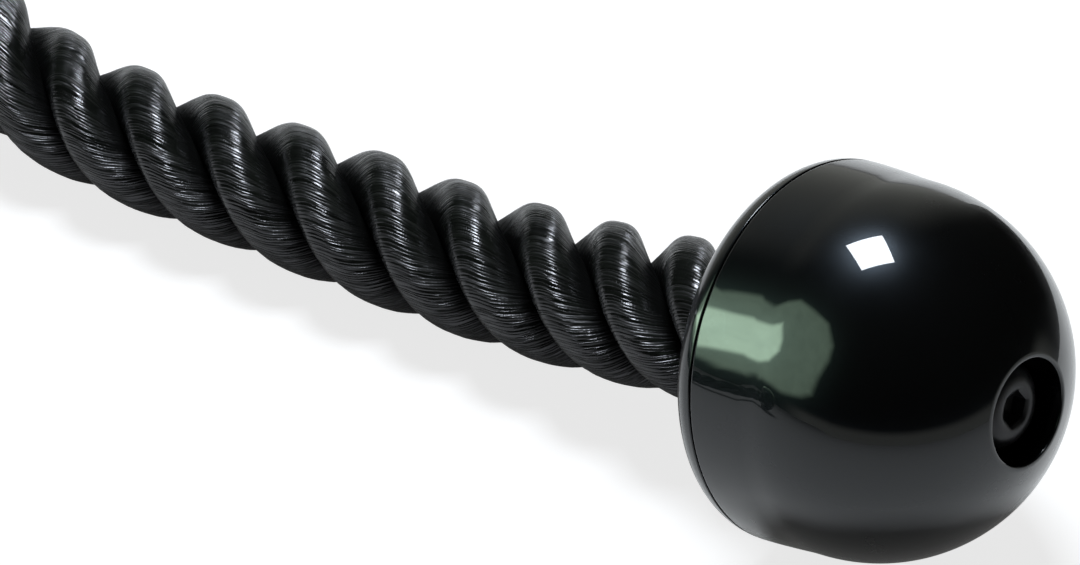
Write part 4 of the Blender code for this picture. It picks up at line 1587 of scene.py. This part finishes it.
@dataclass(frozen=True)
class Thread:
    """A metric thread, and hexagons on the same columns, as rows of (height, radius)."""

    major: float
    pitch: float = 1.5 * MM
    depth_share: float = 0.58
    rings_per_turn: int = 14
    columns: int = 144

    @property
    def angle(self) -> np.ndarray:
        """Angles of the columns; every sixtieth degree is one, so hexagons keep their corners."""
        return around(self.columns)

    def rows(self, start: float, end: float, chamfer: float = 0.8 * MM) -> list:
        """Rings of the thread from its run-out to its chamfered end.

        The radius at the height z and angle a is the minor radius plus the depth times a clipped
        triangle wave of z / pitch - a / turn. The end's cone limits it.

        Args:
            start: height of the thread's run-out.
            end: height of its end.
            chamfer: depth of the end's cone.

        Returns:
            Rows of (height, radii).
        """
        z = np.linspace(start, end, int(abs(end - start) / self.pitch * self.rings_per_turn) + 1)[:, None]
        phase = (z / self.pitch - self.angle / (2 * np.pi)) % 1
        wave = np.clip(1.35 * (1 - np.abs(2 * phase - 1)) - 0.15, 0, 1)
        ease = np.minimum(np.abs(z - start) / (1.2 * self.pitch), 1)
        radius = self.major - self.depth_share * self.pitch * (1 - wave) * ease
        cone = self.major - chamfer + np.abs(end - z)
        return list(zip(z[:, 0], np.minimum(radius, cone)))

    def hexagon_rows(self, flats: float, low: float, high: float, chamfer_high: bool) -> list:
        """Rings of a hexagon whose corners a thirty-degree cone takes off at its chamfered ends.

        Args:
            flats: width over the flats.
            low: height of the chamfered end.
            high: height of the other end.
            chamfer_high: whether that end is chamfered too.

        Returns:
            Rows of (height, radii).
        """
        body = hexagon(flats, self.angle)
        face = 0.475 * flats
        slope = math.tan(math.radians(30))
        reach = (body.max() - face) * slope
        cut = [(reach * s, np.minimum(body, face + reach * s / slope)) for s in np.linspace(0, 1, 8)]
        end = [(high - depth, r) for depth, r in cut[::-1]] if chamfer_high else [(high, body)]
        return [(low + depth, r) for depth, r in cut] + end


@dataclass
class LockNut:
    """Lock nut with a nylon ring, from its bearing face at base towards its collar."""

    name: str
    flats: float
    bore: float
    base: float
    sign: int
    node: str
    body: str
    matrix: Matrix
    finishes: Finishes
    height: float = 10 * MM
    collar_share: float = 0.34
    collar_round: float = 1.3 * MM

    def build(self) -> None:
        """Make the nut and its ring."""
        lathe = Thread(self.bore)
        high, bore, edge = self.height, self.bore, self.collar_round
        shoulder, collar = high * (1 - self.collar_share), 0.455 * self.flats
        rows = [(0.0, bore), (0.0, 0.474 * self.flats)]
        rows += lathe.hexagon_rows(self.flats, 0.0, shoulder, True)
        rows += [(shoulder + 0.05 * MM, collar + 0.25 * MM), (shoulder + 0.35 * MM, collar)]
        rows += quarter((high - edge, collar - edge), edge, 0, 90, 8)
        rows += [(high, bore + 1.05 * MM), (high - 0.15 * MM, bore + 0.8 * MM)]
        rows += [(high - 0.8 * MM, bore + 0.75 * MM), (high - 0.9 * MM, bore)]
        grid = ring_stack([(self.base + self.sign * z, r) for z, r in rows], lathe.angle)
        nut = Skin(self.name, placed(grid, self.matrix), close_rows=True, sharp_angle=35).build()
        self.finishes.fit(nut, "zinc", self.body, self.node)
        section = box_section(bore - 0.15 * MM, bore + 0.72 * MM, high - 0.85 * MM, high - 0.45 * MM)
        ring = fillet(section, 0.1 * MM, 3) * (1, self.sign) + (0, self.base)
        seal = Skin(self.name + "_ring", placed(turned(ring, 96), self.matrix), close_rows=True).build()
        self.finishes.fit(seal, "nylon", self.body, self.node)


def flat_washer(name: str, inner: float, outer: float, low: float, high: float,
                matrix: Matrix) -> bpy.types.Object:
    """A stamped washer with rounded edges between two heights."""
    outline = fillet(box_section(inner, outer, low, high), 0.28 * MM)
    return Skin(name, placed(turned(outline, 120), matrix), close_rows=True, sharp_angle=50).build()


def mark_edges(piece: bpy.types.Object) -> None:
    """Store where a surface turns sharply: one less the length of the mean face normal, scaled.

    Args:
        piece: the piece, which gets the attribute edge.
    """
    data = piece.data
    points = np.empty(len(data.loops), np.int32)
    data.loops.foreach_get("vertex_index", points)
    normals = np.empty(len(data.polygons) * 3)
    data.polygons.foreach_get("normal", normals)
    totals = np.empty(len(data.polygons), np.int32)
    data.polygons.foreach_get("loop_total", totals)
    total = np.zeros((len(data.vertices), 3))
    np.add.at(total, points, np.repeat(normals.reshape(-1, 3), totals, axis=0))
    hits = np.bincount(points, minlength=len(total))
    mark(piece, "edge", np.clip((1 - np.linalg.norm(total, axis=1) / np.maximum(hits, 1)) * 60, 0, 1))


# Sleeve, cross bolt and yoke


@dataclass
class Saddle:
    """Bent chrome sleeve round the rope's middle, with the cross bolt that locks it."""

    finishes: Finishes
    outer: float = SLEEVE_INNER + SLEEVE_WALL
    inner: float = SLEEVE_INNER
    bolt_radius: float = 4.85 * MM
    bolt_flats: float = 17 * MM
    washer_radius: float = 10 * MM
    washer_thickness: float = 1.6 * MM
    nut_height: float = 10 * MM
    head_height: float = 6.4 * MM
    thread_length: float = 6 * MM
    thread_end: float = 1.5 * MM

    def sleeve_grid(self) -> np.ndarray:
        """Closed wall of the sleeve.

        A row is a ring square to the centre line; rows go out along the outside, round a mouth's
        rim as a half circle, back along the inside and round the other rim.

        Returns:
            A grid of points: rows by columns.
        """
        edge = SLEEVE_WALL / 2
        half = SLEEVE_HALF_LENGTH - edge
        middle_radius = (self.outer + self.inner) / 2
        run = np.linspace(-half, half, 73)
        turn = np.linspace(0, np.pi, 13)[1:-1]
        rows = np.vstack([
            np.stack([run, np.full_like(run, self.outer)], axis=1),
            np.stack([half + edge * np.sin(turn), middle_radius + edge * np.cos(turn)], axis=1),
            np.stack([run[::-1], np.full_like(run, self.inner)], axis=1),
            np.stack([-half - edge * np.sin(turn), middle_radius - edge * np.cos(turn)], axis=1),
        ])
        bend = np.clip(rows[:, 0] / SLEEVE_BEND_RADIUS, -SLEEVE_HALF_BEND, SLEEVE_HALF_BEND)
        side = np.stack([np.sin(bend), np.cos(bend), np.zeros_like(bend)], axis=1)
        angle = around(160)[None, :, None]
        ring = np.cos(angle) * side[:, None, :] + np.sin(angle) * np.array(UP)
        return sleeve_line(rows[:, 0])[:, None, :] + rows[:, 1][:, None, None] * ring

    def bolt_grid(self) -> np.ndarray:
        """Hexagon head below, shank through sleeve and rope, and a thread that ends above the nut.

        Returns:
            A grid of points: rows by columns.
        """
        seat = EAR_OUTER + 2 * TOUCH_GAP + self.washer_thickness
        tip = seat + self.nut_height + self.thread_end
        low, face = -seat - self.head_height, -seat - 0.3 * MM
        thread = Thread(self.bolt_radius)
        rows = [(low + 0.35 * MM, 0.0), (low + 0.35 * MM, 5.6 * MM), (low, 6.3 * MM)]
        rows += thread.hexagon_rows(self.bolt_flats, low, face, False)
        rows += [(face, 8.1 * MM), (-seat, 8.0 * MM), (-seat, 5.2 * MM), (-seat + 0.4 * MM, self.bolt_radius)]
        rows += thread.rows(seat - self.thread_length, tip) + [(tip, 0.0)]
        return ring_stack(rows, thread.angle)

    def build(self) -> None:
        """Make the sleeve and the bolt with its washers and nut."""
        sleeve = Skin("saddle_sleeve", self.sleeve_grid(), close_rows=True).build(weld=False)
        drill(sleeve, SWING, UP, BOLT_HOLE, 4 * self.outer)
        shade(sleeve.data, 50)
        self.finishes.fit(sleeve, "chrome", "saddle", "saddle_tube")
        matrix = Matrix.Translation(SWING)
        bolt = Skin("lock_bolt", placed(self.bolt_grid(), matrix), sharp_angle=35).build()
        self.finishes.fit(bolt, "zinc", "saddle", "cross_bolt")
        low = EAR_OUTER + TOUCH_GAP
        high = low + self.washer_thickness
        for place, start, end in (("top", low, high), ("bottom", -high, -low)):
            washer = flat_washer(f"ear_washer_{place}", BOLT_HOLE, self.washer_radius, start, end, matrix)
            self.finishes.fit(washer, "zinc", "saddle", f"cross_washer_{place}")
        LockNut("ear_nut", self.bolt_flats, BOLT_HOLE, high + TOUCH_GAP, 1, "cross_nut", "saddle", matrix,
                self.finishes, self.nut_height).build()


@dataclass
class Yoke:
    """U of flat strap with round ears, bent from one blank, with a bronze bush in its crown."""

    finishes: Finishes
    thickness: float = 4 * MM
    width: float = 26 * MM
    outer_bend: float = 9 * MM
    bush_seat: float = 8.25 * MM
    edge_radius: float = 1.1 * MM
    rows_along: int = 281
    rows_round_ear: int = 61

    def __post_init__(self) -> None:
        """Work out the bend of the strap's middle, half its crown's straight and the leg's end."""
        self.middle_bend = self.outer_bend - self.thickness / 2
        self.crown = EAR_OUTER - self.outer_bend
        self.leg_end = YOKE_REACH + self.thickness - self.outer_bend

    def strap_line(self, run: np.ndarray) -> tuple[np.ndarray, np.ndarray]:
        """Middle of the strap's thickness and its outward normal at a distance from the crown.

        Across the crown the line is straight, then a quarter circle turns it, then the leg is
        straight to the ear. Negative distances go to the lower ear.

        Args:
            run: distances along the strap.

        Returns:
            The points and the normals.
        """
        size = np.abs(run)
        turn = np.clip((size - self.crown) / self.middle_bend, 0, np.pi / 2)
        leg = np.maximum(size - self.crown - self.middle_bend * np.pi / 2, 0)
        y = self.leg_end + self.middle_bend * np.cos(turn) - leg
        z = np.minimum(size, self.crown) + self.middle_bend * np.sin(turn)
        line = np.stack([np.zeros_like(y), y, z * np.sign(run)], axis=-1)
        normal = np.stack([np.zeros_like(y), np.cos(turn), np.sin(turn) * np.sign(run)], axis=-1)
        return line, normal

    def grid(self) -> np.ndarray:
        """Closed skin of the bent blank.

        The flat blank is a long shape with round ends. A column starts on its middle line, runs to
        its edge, round the edge and back on the other face; the blank then follows strap_line.

        Returns:
            A grid of points: rows by columns.
        """
        half, depth, r = self.width / 2, self.thickness / 2, self.edge_radius
        ear = self.crown + self.middle_bend * np.pi / 2 + self.leg_end
        sweep = np.linspace(-np.pi / 2, np.pi / 2, self.rows_round_ear)
        straight = np.linspace(-ear, ear, self.rows_along)[1:-1]
        side = np.full_like(straight, half)
        edge_run = np.concatenate([ear + half * np.cos(sweep), straight[::-1],
                                   -ear - half * np.cos(sweep), straight])
        edge_across = np.concatenate([half * np.sin(sweep), side, -half * np.sin(sweep), -side])
        mid_run = np.clip(edge_run, -ear, ear)
        upper = [(s * (half - r), depth) for s in (0, 0.35, 0.7, 0.93, 1.0)]
        upper += [(x, z) for x, z in quarter((half - r, depth - r), r, 0, 90, 6)[1:]]
        share, level = np.array(upper + [(x, -z) for x, z in upper[::-1]]).T[..., None]
        share = share / half
        line, normal = self.strap_line(mid_run + (edge_run - mid_run) * share)
        made = line + normal * level[..., None]
        made[..., 0] = edge_across * share
        return made

    def build(self) -> None:
        """Make the strap, with holes for the cross bolt and the bush."""
        strap = Skin("yoke_bent_strap", placed(self.grid(), Matrix.Translation(SWING))).build()
        drill(strap, SWING, UP, BOLT_HOLE, 4 * EAR_OUTER)
        crown = SWING + Vector((0, YOKE_REACH + self.thickness / 2, 0))
        drill(strap, crown, Vector((0, 1, 0)), self.bush_seat, 4 * self.thickness)
        shade(strap.data, 45)
        mark_edges(strap)
        self.finishes.fit(strap, "powder", "yoke", "yoke_strap")


# Swivel eye


@dataclass
class Swivel:
    """Forged eye on a turned stem, its bronze bush, and the washer and nut below the crown.

    Its axis is Z in its own frame, which starts on the swing axis and points out of the crown.
    """

    finishes: Finishes
    crown_outer: float = 42 * MM
    stem: float = 5.85 * MM
    bush_inner: float = 6.15 * MM
    bush_outer: float = 7.95 * MM
    flange: float = 12 * MM
    flange_thickness: float = 1.5 * MM
    collar: float = 10.5 * MM
    collar_thickness: float = 3 * MM
    collar_round: float = 0.7 * MM
    neck: float = 7 * MM
    neck_length: float = 3 * MM
    ring_hole: float = 13.5 * MM
    ring_section: float = 5.5 * MM
    washer_radius: float = 12 * MM
    washer_thickness: float = 2 * MM
    nut_flats: float = 19 * MM
    nut_height: float = 10 * MM
    thread_pitch: float = 1.75 * MM
    thread_run_out: float = 2 * MM
    thread_end: float = 1.5 * MM
    blend_reach: float = 3.2 * MM
    voxel: float = 0.5 * MM
    gradient_step: float = 0.01 * MM

    def __post_init__(self) -> None:
        """Work out the heights along the eye's axis."""
        self.matrix = Matrix.Translation(SWING) @ Matrix.Rotation(math.radians(-90), 4, "X")
        self.flange_low = self.crown_outer + TOUCH_GAP
        self.flange_high = self.flange_low + self.flange_thickness
        self.collar_low = self.flange_high + TOUCH_GAP
        self.collar_high = self.collar_low + self.collar_thickness
        self.ring_centre = self.collar_high + self.neck_length + 2 * self.ring_section + self.ring_hole
        self.ring_major = self.ring_hole + self.ring_section
        self.washer_high = YOKE_REACH - TOUCH_GAP
        self.nut_high = self.washer_high - self.washer_thickness - TOUCH_GAP

    def forged_distance(self, point: np.ndarray) -> np.ndarray:
        """Signed distance from the forged eye's skin.

        It is the smooth minimum of two distances: from a ring, the size of (distance from the
        ring's circle) less its section radius, and from a round post that ends inside the collar.
        The smooth minimum of a and b is mix(b, a, h) - k h (1 - h), with h = clip(1/2 + (b-a) / 2k).

        Args:
            point: points in the eye's frame.

        Returns:
            A distance for each point.
        """
        x, y, z = np.moveaxis(point, -1, 0)
        ring = np.hypot(np.hypot(x, z - self.ring_centre) - self.ring_major, y) - self.ring_section
        low, high = self.collar_low + 0.8 * MM, self.collar_high + self.neck_length + 1.5 * MM
        side = np.hypot(x, y) - (self.neck - 1.0 * MM)
        end = np.maximum(low - z, z - high)
        outside = np.hypot(np.maximum(side, 0), np.maximum(end, 0))
        post = outside + np.minimum(np.maximum(side, end), 0) - 0.7 * MM
        k = self.blend_reach
        h = np.clip(0.5 + 0.5 * (post - ring) / k, 0, 1)
        return post * (1 - h) + ring * h - k * h * (1 - h)

    def slope(self, point: np.ndarray) -> np.ndarray:
        """Gradient of the distance, by central differences."""
        step = self.gradient_step
        return np.stack([(self.forged_distance(point + step * axis) - self.forged_distance(point - step * axis))
                         / (2 * step) for axis in np.eye(3)], axis=1)

    def forged_eye(self) -> bpy.types.Object:
        """Ring and post joined by a voxel remesh, then moved on to the smooth skin.

        A ring's point is ((m + s cos b) cos a, s sin b, (m + s cos b) sin a) round its centre. Each
        point of the remesh then moves by minus the distance times its gradient, ten times.

        Returns:
            The piece.
        """
        angle, section = around(96)[:, None], around(32)[None, :]
        out = self.ring_major + self.ring_section * np.cos(section)
        across = np.broadcast_to(self.ring_section * np.sin(section), (96, 32))
        ring = np.stack([out * np.cos(angle), across, self.ring_centre + out * np.sin(angle)], axis=2)
        body = Skin("forged_eye", ring, close_rows=True).build()
        low, high = self.collar_low + 0.5 * MM, self.ring_centre - self.ring_major
        flare = [(0, low), (self.neck, low), (self.neck + 1.5 * MM, high - 4 * MM), (self.neck, high),
                 (0, high)]
        post = Skin("forged_post", turned(flare, 64)).build()
        joined = bmesh.new()
        joined.from_mesh(body.data)
        joined.from_mesh(post.data)
        joined.to_mesh(body.data)
        joined.free()
        bpy.data.objects.remove(post)
        remesh = body.modifiers.new("forge", "REMESH")
        remesh.mode = "VOXEL"
        remesh.voxel_size = self.voxel
        keep_result(body)
        points = read_points(body.data)
        for _ in range(10):
            slope = self.slope(points)
            size = np.maximum((slope**2).sum(axis=1, keepdims=True), 0.05)
            points = points - self.forged_distance(points)[:, None] * slope / size
        body.data.vertices.foreach_set("co", placed(points, self.matrix).astype(np.float32).reshape(-1))
        body.data.update()
        turn_outwards(body.data)
        shade(body.data, None)
        return body

    def stem_grid(self) -> np.ndarray:
        """Threaded stem with the round collar that bears on the bush.

        Returns:
            A grid of points: rows by columns.
        """
        tip = self.nut_high - self.nut_height - self.thread_end
        thread = Thread(self.stem, self.thread_pitch)
        low, high, r = self.collar_low, self.collar_high, self.collar_round
        rows = [(tip, 0.0)] + thread.rows(self.nut_high - self.thread_run_out, tip)[::-1]
        rows += [(low - 0.3 * MM, self.stem), (low, self.stem + 0.3 * MM)]
        rows += quarter((low + r, self.collar - r), r, -90, 0, 7)
        rows += quarter((high - r, self.collar - r), r, 0, 90, 7)
        rows += [(high, self.neck - 1 * MM), (high - 0.6 * MM, 0.0)]
        return ring_stack(rows, thread.angle)

    def build(self) -> None:
        """Make the eye, its stem and what holds it in the crown."""
        self.finishes.fit(self.forged_eye(), "chrome", "eye", "swivel_eye")
        stem = Skin("eye_stem", placed(self.stem_grid(), self.matrix), sharp_angle=40).build()
        self.finishes.fit(stem, "chrome", "eye", "swivel_eye")
        bush = fillet([
            (self.bush_inner, YOKE_REACH), (self.bush_outer, YOKE_REACH), (self.bush_outer, self.flange_low),
            (self.flange, self.flange_low), (self.flange, self.flange_high), (self.bush_inner, self.flange_high),
        ], [0.3 * MM, 0.3 * MM, 0.1 * MM, 0.3 * MM, 0.4 * MM, 0.3 * MM])
        bearing = Skin("crown_bush", placed(turned(bush, 144), self.matrix), close_rows=True,
                       sharp_angle=50).build()
        self.finishes.fit(bearing, "bronze", "yoke", "swivel_bush")
        washer = flat_washer("stem_washer", self.bush_inner, self.washer_radius,
                             self.washer_high - self.washer_thickness, self.washer_high, self.matrix)
        self.finishes.fit(washer, "zinc", "eye", "swivel_washer")
        LockNut("stem_nut", self.nut_flats, self.bush_inner, self.nut_high, -1, "swivel_nut", "eye", self.matrix,
                self.finishes, self.nut_height).build()


# Distances of the grooves from the right ball's seam along the rope, in millimetres
NOTCHES = (47.8, 68.2, 88.2, 107.4, 128.0, 149.0, 170.6, 192.9)


def main() -> None:
    """Build camera, rope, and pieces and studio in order."""
    logging.basicConfig(level=logging.INFO, format="%(name)s: %(message)s")
    view = Viewpoint()
    view.build()
    finishes = Finishes()
    rope = LaidRope(finishes)
    rope.fit_grooves(Vector(view.position), [notch * MM for notch in NOTCHES])
    rope.build()
    for side, sign in (("right", 1), ("left", -1)):
        StopperBall(side, sign, finishes).build()
    Saddle(finishes).build()
    Yoke(finishes).build()
    Swivel(finishes).build()
    finishes.dress_rest()
    Studio(Vector(ball_frame(1).translation)).build()


if __name__ == "__main__":
    main()
